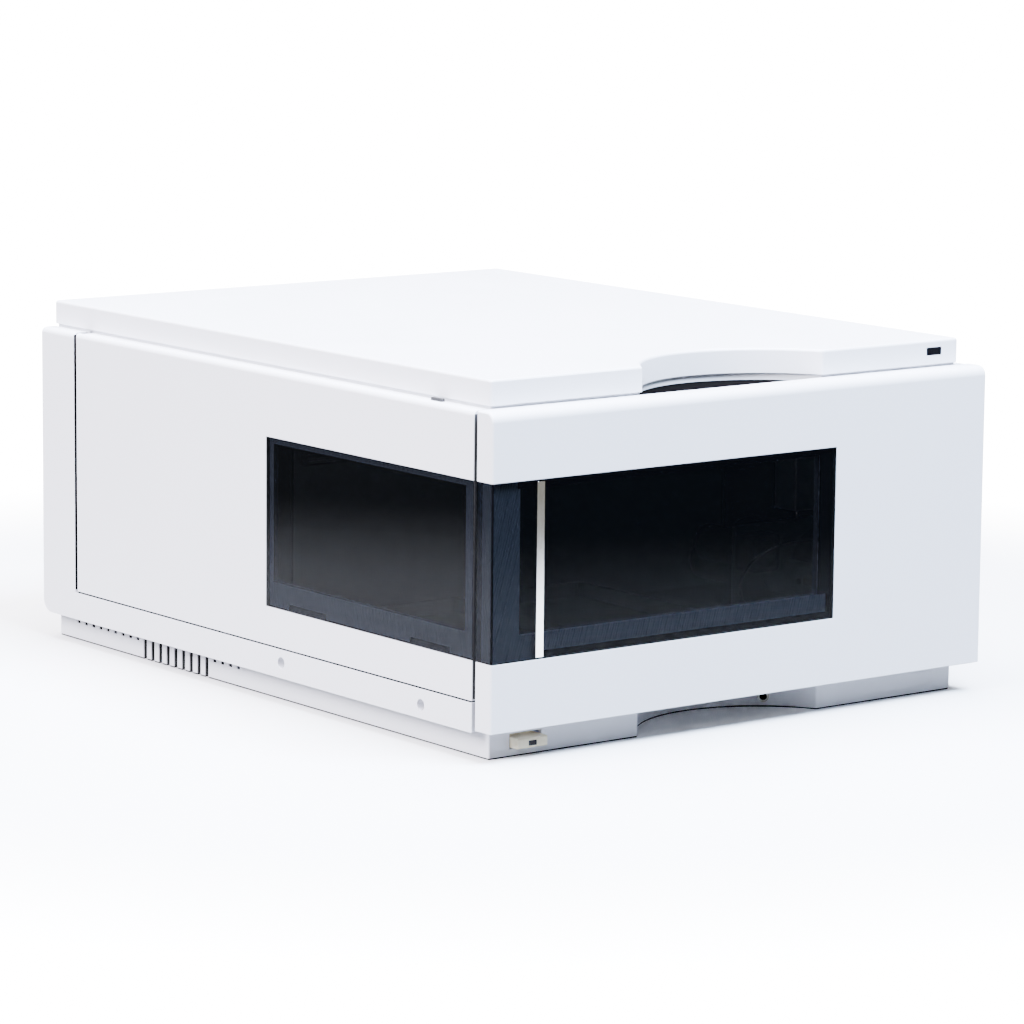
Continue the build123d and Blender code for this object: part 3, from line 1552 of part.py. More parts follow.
# Casing screws: two in each side, four through the fan guard and four in the side panels' returns
with BuildPart() as casing_screws:
    for side in (-1, 1):
        for from_door, height_up in screw_places:
            seat = (side * (chassis_half + boss_floor), front + from_door, height_up)
            long = boss_floor + sheet + screw_grip
            add_screw(seat, (-side, 0, 0), screw_head_radius, screw_head_high, screw_shank_radius, long)
    for x in about(fan_x, fan_screw_offset):
        for z in about(fan_z, fan_screw_offset):
            seat = (x, rear_panel_outer + guard_thick, z)
            long = guard_thick + sheet
            add_screw(seat, toward_front, guard_screw_radius, guard_screw_high, screw_shank_radius, long)
    for side in (-1, 1):
        for z in (panel_screw_low, height - panel_screw_from_top):
            seat = (side * (right - panel_screw_inset), rear_panel_outer + skin, z)
            bar(seat, along_y, guard_screw_radius, guard_screw_high)
pieces["casing_screws"] = casing_screws

for node, piece in pieces.items():
    piece.part.label = node
    export_step(piece.part, f"parts/{node}.step")
print(len(pieces), "pieces")
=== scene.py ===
"""Autosampler: the looks of a benchtop sampler module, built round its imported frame.

Lengths are in metres and follow the frame's axes: X to the right seen from the front, Y to the
rear and Z up. Each sub-assembly is a class that dresses the frame's nodes and adds the pieces
that are too fine for them.
"""

import json
import logging
import math
from dataclasses import dataclass
from enum import Enum
from typing import Any, Optional, Sequence

import bmesh
import bpy
from mathutils import Euler, Matrix, Vector


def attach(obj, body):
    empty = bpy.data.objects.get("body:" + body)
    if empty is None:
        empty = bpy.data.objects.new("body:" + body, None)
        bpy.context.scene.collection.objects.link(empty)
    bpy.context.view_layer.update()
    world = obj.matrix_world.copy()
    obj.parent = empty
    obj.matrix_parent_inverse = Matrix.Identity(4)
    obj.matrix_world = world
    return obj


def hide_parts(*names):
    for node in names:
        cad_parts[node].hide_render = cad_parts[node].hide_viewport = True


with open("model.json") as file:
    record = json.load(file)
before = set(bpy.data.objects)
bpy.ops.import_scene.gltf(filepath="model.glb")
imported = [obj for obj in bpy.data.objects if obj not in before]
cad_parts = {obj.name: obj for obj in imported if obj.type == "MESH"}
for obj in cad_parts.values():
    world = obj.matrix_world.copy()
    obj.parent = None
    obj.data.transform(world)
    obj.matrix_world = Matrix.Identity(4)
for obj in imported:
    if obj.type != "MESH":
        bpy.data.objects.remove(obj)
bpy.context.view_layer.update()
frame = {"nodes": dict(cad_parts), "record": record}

MM = 0.001
WELD = 2e-6
FLAT_ANGLE = math.radians(0.6)
CREASE_ANGLE = math.radians(32.0)
EDGE_STEPS = 2
NOISE_ENDS = (0.3, 0.7)
FAN_X = 85.0 * MM
FAN_Z = 110.0 * MM
FAN_BOLT_REACH = 35.75 * MM
LOG = logging.getLogger("autosampler")

Colour = tuple[float, float, float]
Flat = tuple[float, float]
Point = tuple[float, float, float]
Corners = tuple[Point, Point]


def point(x: float, y: float, z: float) -> Point:
    """Return a point that is given in millimetres."""
    return (x * MM, y * MM, z * MM)


def outline(*corners: Flat) -> tuple[Flat, ...]:
    """Return the corners of an outline that is given in millimetres."""
    return tuple((x * MM, y * MM) for x, y in corners)


def spaced(middle: float, count: int, pitch: float) -> list[float]:
    """Return evenly spaced lengths, as many above a middle one as below it."""
    return [middle + (index - (count - 1) / 2) * pitch for index in range(count)]


class Slot(Enum):
    """Material slots of the record, by the finish that they name."""

    CASING = "casing_white"
    FRAME_WHITE = "frame_white"
    WINDOW = "window_tint"
    FRAME_GREY = "frame_grey"
    STRIP = "bright_strip"
    BUTTON = "ivory_button"
    LENS = "dark_lens"
    SHEET = "sheet_metal"
    STAINLESS = "stainless"
    ALUMINIUM = "machined_aluminium"
    MOTOR = "motor_black"
    BLACK = "black_plastic"
    NATURAL = "natural_plastic"
    PUMP = "pump_grey"
    DRAIN = "drain_plastic"
    RUBBER = "rubber_black"
    BOARD = "board_green"


class Graph:
    """A shader or geometry node tree, written one node at a time."""

    def __init__(self, tree: bpy.types.NodeTree) -> None:
        """Keep the tree that the nodes go into."""
        self.tree = tree

    @classmethod
    def cleared(cls, holder: Any) -> "Graph":
        """Empty the node tree of a material or a world.

        Args:
            holder: The material or the world.

        Returns:
            Its tree, ready for nodes.
        """
        holder.use_nodes = True
        holder.node_tree.nodes.clear()
        return cls(holder.node_tree)

    def add(self, kind: str, inputs: Optional[dict[Any, Any]] = None, **settings: Any) -> Any:
        """Add a node.

        Args:
            kind: Blender's name of the node type.
            inputs: Sockets by name or index, each with a value or the socket that feeds it.
            settings: Properties of the node itself.

        Returns:
            The new node.
        """
        node = self.tree.nodes.new(kind)
        for name, value in settings.items():
            setattr(node, name, value)
        for name, value in (inputs or {}).items():
            self.feed(node, name, value)
        return node

    def feed(self, node: Any, name: Any, value: Any) -> None:
        """Set one socket of a node, or link another socket to it.

        Args:
            node: The node.
            name: The socket's name or index.
            value: A value, or the socket that feeds it.
        """
        if isinstance(value, bpy.types.NodeSocket):
            self.tree.links.new(value, node.inputs[name])
        else:
            node.inputs[name].default_value = value

    def noise(self, where: Any, scale: float, detail: float, roughness: float = 0.5) -> Any:
        """Add a noise texture and return its value socket."""
        inputs = {"Vector": where, "Scale": scale, "Detail": detail, "Roughness": roughness}
        return self.add("ShaderNodeTexNoise", inputs).outputs["Fac"]

    def bump(self, height: Any, strength: float, distance: float) -> Any:
        """Add a bump and return its normal socket."""
        inputs = {"Height": height, "Strength": strength, "Distance": distance}
        return self.add("ShaderNodeBump", inputs).outputs["Normal"]

    def between(self, value: Any, ends: Flat, low: Any, high: Any, **settings: Any) -> Any:
        """Spread a value from its own ends to two others, and return the result's socket."""
        inputs = {"Value": value, "From Min": ends[0], "From Max": ends[1], "To Min": low, "To Max": high}
        return self.add("ShaderNodeMapRange", inputs, **settings).outputs["Result"]

    def ramp(self, value: Any, low: tuple[float, Colour], high: tuple[float, Colour]) -> Any:
        """Blend two colours by a value.

        Args:
            value: The socket with the value.
            low: The value up to which the first colour holds, and that colour.
            high: The value from which the second colour holds, and that colour.

        Returns:
            The colour socket.
        """
        node = self.add("ShaderNodeValToRGB", {"Fac": value})
        for element, (position, colour) in zip(node.color_ramp.elements, (low, high)):
            element.position = position
            element.color = (*colour, 1.0)
        return node.outputs["Color"]

    def principled(self, inputs: dict[str, Any]) -> Any:
        """Add a Principled shader and return its shader socket."""
        return self.add("ShaderNodeBsdfPrincipled", inputs).outputs["BSDF"]


@dataclass(frozen=True)
class Finish:
    """What every finish has: a name, the record's slot and a base colour."""

    name: str
    slot: Slot
    colour: Colour

    def material(self) -> bpy.types.Material:
        """Make the finish's material, or take the one that is there.

        Returns:
            The material.
        """
        found = bpy.data.materials.get(self.name)
        if found is not None:
            return found
        made = bpy.data.materials.new(self.name)
        graph = Graph.cleared(made)
        where = graph.add("ShaderNodeTexCoord").outputs["Object"]
        graph.add("ShaderNodeOutputMaterial", {"Surface": self.surface(graph, where)})
        made.diffuse_color = (*self.colour, 1.0)
        return made

    def surface(self, graph: Graph, where: Any) -> Any:
        """Build the shader.

        Args:
            graph: The material's tree.
            where: The socket with the Object coordinates.

        Returns:
            The shader socket for the output.
        """
        raise NotImplementedError

    def varied(self, graph: Graph, where: Any, size: float, spread: float) -> Any:
        """Vary the base colour softly.

        Args:
            graph: The material's tree.
            where: The coordinates to read.
            size: How large the soft patches are.
            spread: How far they depart from the base colour, as a share.

        Returns:
            The colour socket.
        """
        low = tuple(channel * (1 - spread) for channel in self.colour)
        high = tuple(min(channel * (1 + spread), 1.0) for channel in self.colour)
        noise = graph.noise(where, 1 / size, detail=3.0)
        return graph.ramp(noise, (NOISE_ENDS[0], low), (NOISE_ENDS[1], high))


@dataclass(frozen=True)
class Moulded(Finish):
    """Moulded plastic or textured paint: fine grain, faint mottling and a soft gloss."""

    roughness: float = 0.5
    grain: float = 0.6 * MM
    depth: float = 0.02 * MM
    mottle: float = 0.015
    patch: float = 60 * MM
    level: float = 0.5
    gloss_shares: Flat = (0.92, 1.08)

    def surface(self, graph: Graph, where: Any) -> Any:
        """Put grain in the bump, and patches in the colour and the gloss.

        Args:
            graph: The material's tree.
            where: The socket with the Object coordinates.

        Returns:
            The shader socket.
        """
        grain = graph.noise(where, 1 / self.grain, detail=2.0, roughness=0.6)
        smear = graph.noise(where, 2.5 / self.patch, detail=4.0)
        low, high = (self.roughness * share for share in self.gloss_shares)
        return graph.principled(
            {
                "Base Color": self.varied(graph, where, self.patch, self.mottle),
                "Roughness": graph.between(smear, NOISE_ENDS, low, high),
                "Normal": graph.bump(grain, strength=0.6, distance=self.depth),
                "Specular IOR Level": self.level,
            }
        )


@dataclass(frozen=True)
class Metal(Finish):
    """Bare metal: brushed along one axis, or speckled where the stretch is even."""

    roughness: float = 0.3
    grain: float = 0.4 * MM
    stretch: Point = (1.0, 1.0, 1.0)
    depth: float = 0.01 * MM
    mottle: float = 0.04
    patch: float = 12 * MM
    gloss_shares: Flat = (0.8, 1.2)

    def surface(self, graph: Graph, where: Any) -> Any:
        """Stretch the grain, which drives the gloss and a shallow bump.

        Args:
            graph: The material's tree.
            where: The socket with the Object coordinates.

        Returns:
            The shader socket.
        """
        along = graph.add("ShaderNodeMapping", {"Vector": where, "Scale": self.stretch}).outputs["Vector"]
        grain = graph.noise(along, 1 / self.grain, detail=4.0)
        low, high = (self.roughness * share for share in self.gloss_shares)
        return graph.principled(
            {
                "Base Color": self.varied(graph, along, self.patch, self.mottle),
                "Metallic": 1.0,
                "Roughness": graph.between(grain, NOISE_ENDS, low, high),
                "Normal": graph.bump(grain, strength=0.5, distance=self.depth),
            }
        )


@dataclass(frozen=True)
class Pane(Finish):
    """Tinted acrylic: a dark glossy sheet that lets a share of the light through."""

    opacity: float = 0.6
    roughness: float = 0.03
    level: float = 0.5
    mottle: float = 0.04
    patch: float = 80 * MM
    gloss_shares: Flat = (0.7, 1.5)
    smears_in_metre: float = 22.0
    waves_in_metre: float = 9.0
    wave_depth: float = 0.01 * MM

    def surface(self, graph: Graph, where: Any) -> Any:
        """Smear the gloss faintly, over a tint that lets the inside show.

        Args:
            graph: The material's tree.
            where: The socket with the Object coordinates.

        Returns:
            The shader socket.
        """
        smear = graph.noise(where, self.smears_in_metre, detail=5.0)
        wave = graph.noise(where, self.waves_in_metre, detail=1.0)
        low, high = (self.roughness * share for share in self.gloss_shares)
        return graph.principled(
            {
                "Base Color": self.varied(graph, where, self.patch, self.mottle),
                "Roughness": graph.between(smear, NOISE_ENDS, low, high),
                "Alpha": self.opacity,
                "Specular IOR Level": self.level,
                "Normal": graph.bump(wave, strength=0.05, distance=self.wave_depth),
            }
        )


@dataclass(frozen=True)
class BoardLacquer(Finish):
    """Circuit board: green lacquer over a net of fine copper tracks."""

    track: Colour = (0.10, 0.36, 0.18)
    pitch: float = 2.6 * MM
    track_share: float = 0.09
    blur_share: float = 0.02
    track_high: float = 0.03 * MM

    def surface(self, graph: Graph, where: Any) -> Any:
        """Run tracks along the edges of uneven cells, a little raised and lighter.

        Args:
            graph: The material's tree.
            where: The socket with the Object coordinates.

        Returns:
            The shader socket.
        """
        cells = graph.add(
            "ShaderNodeTexVoronoi",
            {"Vector": where, "Scale": 1 / self.pitch, "Randomness": 0.75},
            feature="DISTANCE_TO_EDGE",
        ).outputs["Distance"]
        edge = graph.add("ShaderNodeMath", {0: cells, 1: self.track_share}, operation="LESS_THAN")
        track = (self.track_share - self.blur_share, self.track)
        lacquer = (self.track_share + self.blur_share, self.colour)
        return graph.principled(
            {
                "Base Color": graph.ramp(cells, track, lacquer),
                "Roughness": 0.32,
                "Normal": graph.bump(edge.outputs["Value"], strength=0.4, distance=self.track_high),
            }
        )


class Finishes:
    """Every finish of the object, named for where it is."""

    CASING = Moulded(
        "casing_paint", Slot.CASING, (0.80, 0.81, 0.86),
        roughness=0.42, grain=0.45 * MM, depth=0.012 * MM, mottle=0.008, patch=90 * MM,
    )
    FRAME_WHITE = Moulded(
        "frame_plastic", Slot.FRAME_WHITE, (0.78, 0.80, 0.85),
        roughness=0.38, grain=0.5 * MM, depth=0.01 * MM,
    )
    WINDOW = Pane(
        "smoked_acrylic", Slot.WINDOW, (0.0009, 0.0012, 0.0017),
        opacity=0.75, roughness=0.03, level=0.05,
    )
    FRAME_GREY = Moulded(
        "window_frame_grey", Slot.FRAME_GREY, (0.50, 0.60, 0.84),
        roughness=0.6, grain=2.0 * MM, depth=0.004 * MM, mottle=0.006,
    )
    STRIP = Metal(
        "bright_strip_metal", Slot.STRIP, (0.88, 0.87, 0.82),
        roughness=0.1, grain=0.5 * MM, depth=0.002 * MM,
    )
    BUTTON = Moulded(
        "ivory_plastic", Slot.BUTTON, (0.96, 0.88, 0.64),
        roughness=0.36, grain=0.5 * MM, depth=0.008 * MM,
    )
    LENS = Moulded(
        "dark_lens_plastic", Slot.LENS, (0.003, 0.003, 0.004),
        roughness=0.25, grain=0.8 * MM, depth=0.004 * MM, level=0.08,
    )
    SHEET = Metal(
        "zinc_sheet", Slot.SHEET, (0.56, 0.58, 0.60),
        roughness=0.42, grain=1.6 * MM, depth=0.012 * MM, mottle=0.10,
    )
    # Near-black for the deck and the chassis sides: the deck's own black, and painted shade behind the
    # seams and vents.
    DARK_DECK_AND_SHADE = Moulded(
        "deck_black_and_painted_shade", Slot.SHEET, (0.0026, 0.0026, 0.0028),
        roughness=0.7, grain=0.5 * MM, level=0.0,
    )
    SCREW = Metal("screw_steel", Slot.STAINLESS, (0.34, 0.34, 0.35), roughness=0.3, grain=0.35 * MM)
    BRASS = Metal("contact_brass", Slot.STAINLESS, (0.72, 0.55, 0.24), roughness=0.28, grain=0.35 * MM)
    STAINLESS = Metal(
        "stainless_steel", Slot.STAINLESS, (0.66, 0.65, 0.63),
        roughness=0.24, grain=0.35 * MM, stretch=(0.08, 1.0, 1.0),
    )
    ALUMINIUM = Metal(
        "milled_aluminium", Slot.ALUMINIUM, (0.74, 0.75, 0.77),
        roughness=0.34, grain=0.35 * MM, stretch=(1.0, 0.2, 1.0),
    )
    MOTOR = Moulded(
        "motor_enamel", Slot.MOTOR, (0.016, 0.016, 0.018),
        roughness=0.4, grain=0.4 * MM, depth=0.015 * MM,
    )
    # Flat black for printed borders, and for the strips, sheet, cup and fold line that paint shade in
    # gaps and hollows.
    PRINT_AND_SHADE = Moulded(
        "black_print_and_painted_shade", Slot.BLACK, (0.004, 0.004, 0.006),
        roughness=0.8, grain=2.0 * MM, depth=0.002 * MM, level=0.0,
    )
    BLACK = Moulded(
        "black_moulding", Slot.BLACK, (0.020, 0.020, 0.022),
        roughness=0.46, grain=0.4 * MM, depth=0.015 * MM,
    )
    # Near-black sheet inside the base's vents: painted shade in the vent slots.
    VENT_SHADE = Moulded(
        "vent_painted_shade", Slot.RUBBER, (0.035, 0.035, 0.037),
        roughness=0.9, grain=0.8 * MM, depth=0.03 * MM, level=0.1,
    )
    RUBBER = Moulded(
        "black_rubber", Slot.RUBBER, (0.022, 0.022, 0.024),
        roughness=0.78, grain=0.5 * MM, depth=0.03 * MM,
    )
    NATURAL = Moulded(
        "natural_polymer", Slot.NATURAL, (0.62, 0.55, 0.42),
        roughness=0.4, grain=0.6 * MM, depth=0.01 * MM,
    )
    PUMP = Moulded("pump_housing", Slot.PUMP, (0.28, 0.29, 0.31), roughness=0.5, grain=0.5 * MM)
    DRAIN = Moulded(
        "drain_tube", Slot.DRAIN, (0.55, 0.56, 0.52),
        roughness=0.34, grain=0.8 * MM, depth=0.006 * MM,
    )
    BOARD = BoardLacquer("board_lacquer", Slot.BOARD, (0.012, 0.13, 0.05))


BODY_OF: dict[str, str] = {
    node: body for body, nodes in frame["record"]["behaviour"]["bodies"].items() for node in nodes
}


def meshed(name: str, work: bmesh.types.BMesh) -> bpy.types.Mesh:
    """Turn a bmesh into a mesh.

    Args:
        name: The mesh's name.
        work: The bmesh; freed here.

    Returns:
        The mesh.
    """
    mesh = bpy.data.meshes.new(name)
    work.to_mesh(mesh)
    work.free()
    return mesh


def placed(name: str, data: Any) -> bpy.types.Object:
    """Put a mesh, a light or a camera into the scene.

    Args:
        name: The object's name.
        data: What the object holds.

    Returns:
        The new object.
    """
    made = bpy.data.objects.new(name, data)
    bpy.context.scene.collection.objects.link(made)
    return made


def shown(name: str, work: bmesh.types.BMesh, finish: Finish, body: str) -> bpy.types.Object:
    """Turn a bmesh into a finished piece that rides on a body.

    Args:
        name: The piece's name.
        work: Its shape in the frame's axes; freed here.
        finish: What it is finished with.
        body: The moving body that it belongs to.

    Returns:
        The new piece.
    """
    for face in work.faces:
        face.smooth = True
    mesh = meshed(name, work)
    mesh.set_sharp_from_angle(angle=CREASE_ANGLE)
    mesh.materials.append(finish.material())
    piece = placed(name, mesh)
    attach(piece, body)
    return piece


def rounded(piece: bpy.types.Object, edge: float) -> None:
    """Round the hard edges of a piece with a live bevel, and keep its large faces flat.

    Args:
        piece: The piece.
        edge: How wide the rounding is.
    """
    bevel = piece.modifiers.new("edge_round", "BEVEL")
    bevel.width = edge
    bevel.segments = EDGE_STEPS
    bevel.limit_method = "ANGLE"
    bevel.angle_limit = CREASE_ANGLE
    bevel.use_clamp_overlap = True
    flat = piece.modifiers.new("flat_faces", "WEIGHTED_NORMAL")
    flat.mode = "FACE_AREA"
    flat.weight = 100
    flat.keep_sharp = True


class Facing(Enum):
    """Turns that point a unit's Z axis to one side of the object."""

    REAR = (-math.pi / 2, 0.0, 0.0)
    FRONT = (math.pi / 2, 0.0, 0.0)
    LEFT = (0.0, -math.pi / 2, 0.0)
    RIGHT = (0.0, math.pi / 2, 0.0)


@dataclass(frozen=True)
class Ring:
    """One ring of a turned shape: its radius, its height and how far lobes push it in and out."""

    radius: float
    height: float
    wave: float = 0.0


def profile(*steps: Sequence[float]) -> tuple[Ring, ...]:
    """Return rings, each from a radius and a height in millimetres, and its wave if it has one."""
    return tuple(Ring(radius * MM, height * MM, *wave) for radius, height, *wave in steps)


@dataclass(frozen=True)
class Place:
    """Where one of many like things stands, how it is turned and how large it is."""

    at: Point
    turn: Point = (0.0, 0.0, 0.0)
    grow: float = 1.0


def around(middle: Point, reach: float, degrees: Sequence[float]) -> list[Place]:
    """Return places on a circle about a point, each facing the front.

    Args:
        middle: The circle's middle.
        reach: Its radius.
        degrees: The angle of each place, from the right.

    Returns:
        The places.
    """
    x, y, z = middle
    return [
        Place((x + reach * math.cos(angle), y, z + reach * math.sin(angle)), Facing.FRONT.value)
        for angle in map(math.radians, degrees)
    ]


def squared(middle: Point, reach: float) -> list[Place]:
    """Return the four corners of an upright square, each facing the rear.

    Args:
        middle: The square's middle.
        reach: Half its side.

    Returns:
        The places.
    """
    x, y, z = middle
    return [
        Place((x + across, y, z + up), Facing.REAR.value)
        for across in (-reach, reach)
        for up in (-reach, reach)
    ]


def turned(rings: Sequence[Ring], segments: int, lobes: int = 6) -> bmesh.types.BMesh:
    """Turn rings round Z into a closed solid, with a bore where the first ring is no pole.

    Args:
        rings: From the bottom, up the outside, to the top; a zero radius is a pole.
        segments: Corners of each ring.
        lobes: How many lobes a waved ring has.

    Returns:
        The solid.
    """
    work = bmesh.new()
    rows = []
    for ring in rings:
        if ring.radius <= 0:
            rows.append([work.verts.new((0.0, 0.0, ring.height))])
            continue
        row = []
        for index in range(segments):
            angle = 2 * math.pi * index / segments
            reach = ring.radius * (1 + ring.wave * math.cos(lobes * angle))
            row.append(work.verts.new((reach * math.cos(angle), reach * math.sin(angle), ring.height)))
        rows.append(row)
    ends = rows[1:] if rings[0].radius <= 0 else rows[1:] + rows[:1]
    for low, high in zip(rows, ends):
        for index in range(segments):
            after = (index + 1) % segments
            corners = [
                low[index % len(low)],
                low[after % len(low)],
                high[after % len(high)],
                high[index % len(high)],
            ]
            work.faces.new(list(dict.fromkeys(corners)))
    bmesh.ops.recalc_face_normals(work, faces=work.faces)
    return work


def prism(outline: Sequence[Flat], low: float, high: float) -> bmesh.types.BMesh:
    """Stand a closed outline up into a solid.

    Args:
        outline: Corners in X and Y, in order.
        low: The bottom's height.
        high: The top's height.

    Returns:
        The solid.
    """
    work = bmesh.new()
    bottom = [work.verts.new((x, y, low)) for x, y in outline]
    top = [work.verts.new((x, y, high)) for x, y in outline]
    work.faces.new(bottom)
    work.faces.new(top)
    for index in range(len(outline)):
        after = (index + 1) % len(outline)
        work.faces.new((bottom[index], bottom[after], top[after], top[index]))
    bmesh.ops.recalc_face_normals(work, faces=work.faces)
    return work


def box(low: Point, high: Point) -> bmesh.types.BMesh:
    """Return a block between two corners, as a strip or as one block of a joined piece."""
    corners = [(low[0], low[1]), (high[0], low[1]), (high[0], high[1]), (low[0], high[1])]
    return prism(corners, low[2], high[2])


def joined(parts: Sequence[bmesh.types.BMesh]) -> bmesh.types.BMesh:
    """Gather several solids into one bmesh.

    Args:
        parts: The solids; freed here.

    Returns:
        The bmesh of all of them.
    """
    whole = bmesh.new()
    for part in parts:
        carrier = meshed("carrier", part)
        whole.from_mesh(carrier)
        bpy.data.meshes.remove(carrier)
    return whole


def moved(work: bmesh.types.BMesh, at: Point, turn: Point) -> bmesh.types.BMesh:
    """Turn a solid about the origin and set it down at a place.

    Args:
        work: The solid, which is changed.
        at: The place.
        turn: The turn about X, Y and Z.

    Returns:
        The same solid.
    """
    matrix = Matrix.Translation(at) @ Euler(turn).to_matrix().to_4x4()
    bmesh.ops.transform(work, matrix=matrix, verts=work.verts)
    return work


def softened(work: bmesh.types.BMesh, edge: float) -> bmesh.types.BMesh:
    """Round every hard edge of a solid.

    Args:
        work: The solid, which is changed.
        edge: How wide the rounding is.

    Returns:
        The same solid.
    """
    hard = [e for e in work.edges if e.is_manifold and e.calc_face_angle(0.0) > CREASE_ANGLE]
    bmesh.ops.bevel(
        work,
        geom=hard,
        offset=edge,
        segments=EDGE_STEPS,
        profile=0.5,
        affect="EDGES",
        clamp_overlap=True,
    )
    return work


@dataclass(frozen=True)
class StarScrew:
    """A pan-head screw with a star recess, its seat at the origin and its head up."""

    head_radius: float = 2.8 * MM
    head_high: float = 1.6 * MM
    shank_radius: float = 1.6 * MM
    shank_long: float = 3.1 * MM
    recess_share: float = 0.42
    recess_wave: float = 0.14
    corners: int = 36

    def solid(self) -> bmesh.types.BMesh:
        """Turn the screw.

        Returns:
            The solid.
        """
        wide, high, wave = self.head_radius, self.head_high, self.recess_wave
        recess = wide * self.recess_share
        rings = [
            Ring(0.0, -self.shank_long),
            Ring(self.shank_radius, -self.shank_long),
            Ring(self.shank_radius, 0.0),
            Ring(wide * 0.97, 0.0),
            Ring(wide, high * 0.06),
            Ring(wide, high * 0.5),
            Ring(wide * 0.93, high * 0.78),
            Ring(wide * 0.78, high * 0.95),
            Ring(wide * 0.62, high),
            Ring(recess * 1.04, high, wave),
            Ring(recess, high * 0.94, wave),
            Ring(recess * 0.95, high * 0.2, wave),
            Ring(0.0, high * 0.1),
        ]
        return turned(rings, self.corners)


def aimed(x_axis: Point, y_axis: Point) -> Point:
    """Return the turn that lays a unit's X and Y axes along two given directions."""
    across, up = Vector(x_axis), Vector(y_axis)
    return tuple(Matrix((across, up, across.cross(up))).transposed().to_euler())


class Repeater:
    """Geometry Nodes that set a unit down at many places and turn them into one mesh."""

    name: str = "repeater"
    sockets: dict[str, str] = {"Geometry": "Geometry", "Unit": "Object", "Finish": "Material"}

    def __init__(self) -> None:
        """Build the node tree, or take the one that is there."""
        self.tree = bpy.data.node_groups.get(self.name)
        if self.tree is None:
            self.tree = bpy.data.node_groups.new(self.name, "GeometryNodeTree")
            self.wire()

    def wire(self) -> None:
        """Lay out the sockets and nodes of the tree."""
        for name, kind in self.sockets.items():
            self.tree.interface.new_socket(name, in_out="INPUT", socket_type=f"NodeSocket{kind}")
        self.tree.interface.new_socket("Geometry", in_out="OUTPUT", socket_type="NodeSocketGeometry")
        graph = Graph(self.tree)
        given = graph.add("NodeGroupInput")
        turn = graph.add("GeometryNodeInputNamedAttribute", {"Name": "turn"}, data_type="FLOAT_VECTOR")
        grow = graph.add("GeometryNodeInputNamedAttribute", {"Name": "grow"}, data_type="FLOAT")
        stood = graph.add(
            "GeometryNodeInstanceOnPoints",
            {
                "Points": given.outputs["Geometry"],
                "Instance": self.unit(graph, given),
                "Rotation": turn.outputs["Attribute"],
                "Scale": grow.outputs["Attribute"],
            },
        )
        whole = graph.add("GeometryNodeRealizeInstances", {"Geometry": stood.outputs["Instances"]})
        skin = self.skin(graph, given, whole.outputs["Geometry"])
        done = graph.add(
            "GeometryNodeSetMaterial", {"Geometry": skin, "Material": given.outputs["Finish"]}
        )
        graph.add("NodeGroupOutput", {"Geometry": done.outputs["Geometry"]})

    def unit(self, graph: Graph, given: Any) -> Any:
        """Return the socket of the shape that is set down: the given object's."""
        return graph.add("GeometryNodeObjectInfo", {"Object": given.outputs["Unit"]}).outputs["Geometry"]

    def skin(self, graph: Graph, given: Any, whole: Any) -> Any:
        """Return the socket of the finished mesh: the shapes as they are."""
        return whole

    def run(self, places: Sequence[Place], finish: Finish, given: dict[str, Any]) -> bmesh.types.BMesh:
        """Set the units down.

        Args:
            places: Where they go.
            finish: The finish of the result.
            given: Values of the tree's other sockets, by name.

        Returns:
            The mesh of all of them.
        """
        points = bpy.data.meshes.new("places")
        points.from_pydata([place.at for place in places], [], [])
        turns = points.attributes.new("turn", "FLOAT_VECTOR", "POINT")
        turns.data.foreach_set("vector", [value for place in places for value in place.turn])
        sizes = points.attributes.new("grow", "FLOAT", "POINT")
        sizes.data.foreach_set("value", [place.grow for place in places])
        host = placed("places", points)
        modifier = host.modifiers.new("repeat", "NODES")
        modifier.node_group = self.tree
        values = {"Finish": finish.material(), **given}
        for socket in self.tree.interface.items_tree:
            if socket.in_out == "INPUT" and socket.name in values:
                modifier[socket.identifier] = values[socket.name]
        graph = bpy.context.evaluated_depsgraph_get()
        mesh = bpy.data.meshes.new_from_object(host.evaluated_get(graph), depsgraph=graph)
        host.modifiers.remove(modifier)
        work = bmesh.new()
        work.from_mesh(mesh)
        bpy.data.meshes.remove(mesh)
        bpy.data.objects.remove(host)
        bpy.data.meshes.remove(points)
        return work

    def spread(
        self, unit: bmesh.types.BMesh, places: Sequence[Place], finish: Finish
    ) -> bmesh.types.BMesh:
        """Set copies of a unit down at places.

        Args:
            unit: The shape that is repeated; freed here.
            places: Where it goes.
            finish: The finish of the result.

        Returns:
            The mesh of all copies.
        """
        mesh = meshed("unit", unit)
        model = placed("unit", mesh)
        work = self.run(places, finish, {"Unit": model})
        bpy.data.objects.remove(model)
        bpy.data.meshes.remove(mesh)
        return work


class WireRings(Repeater):
    """Geometry Nodes that bend round wire into rings, one at each place, as wide as it grows."""

    name: str = "wire_rings"
    sockets: dict[str, str] = {
        "Geometry": "Geometry",
        "Wire": "Float",
        "Corners": "Int",
        "Finish": "Material",
    }
    wire_corners: int = 12

    def unit(self, graph: Graph, given: Any) -> Any:
        """Return the socket of the shape that is set down: a ring one metre in radius."""
        inputs = {"Resolution": given.outputs["Corners"], "Radius": 1.0}
        return graph.add("GeometryNodeCurvePrimitiveCircle", inputs).outputs["Curve"]

    def skin(self, graph: Graph, given: Any, whole: Any) -> Any:
        """Run round wire along the rings.

        Args:
            graph: The tree.
            given: The node with the tree's inputs.
            whole: The socket with the rings.

        Returns:
            The socket of the wire's mesh.
        """
        section = graph.add(
            "GeometryNodeCurvePrimitiveCircle",
            {"Resolution": self.wire_corners, "Radius": given.outputs["Wire"]},
        )
        inputs = {"Curve": whole, "Profile Curve": section.outputs["Curve"]}
        return graph.add("GeometryNodeCurveToMesh", inputs).outputs["Mesh"]


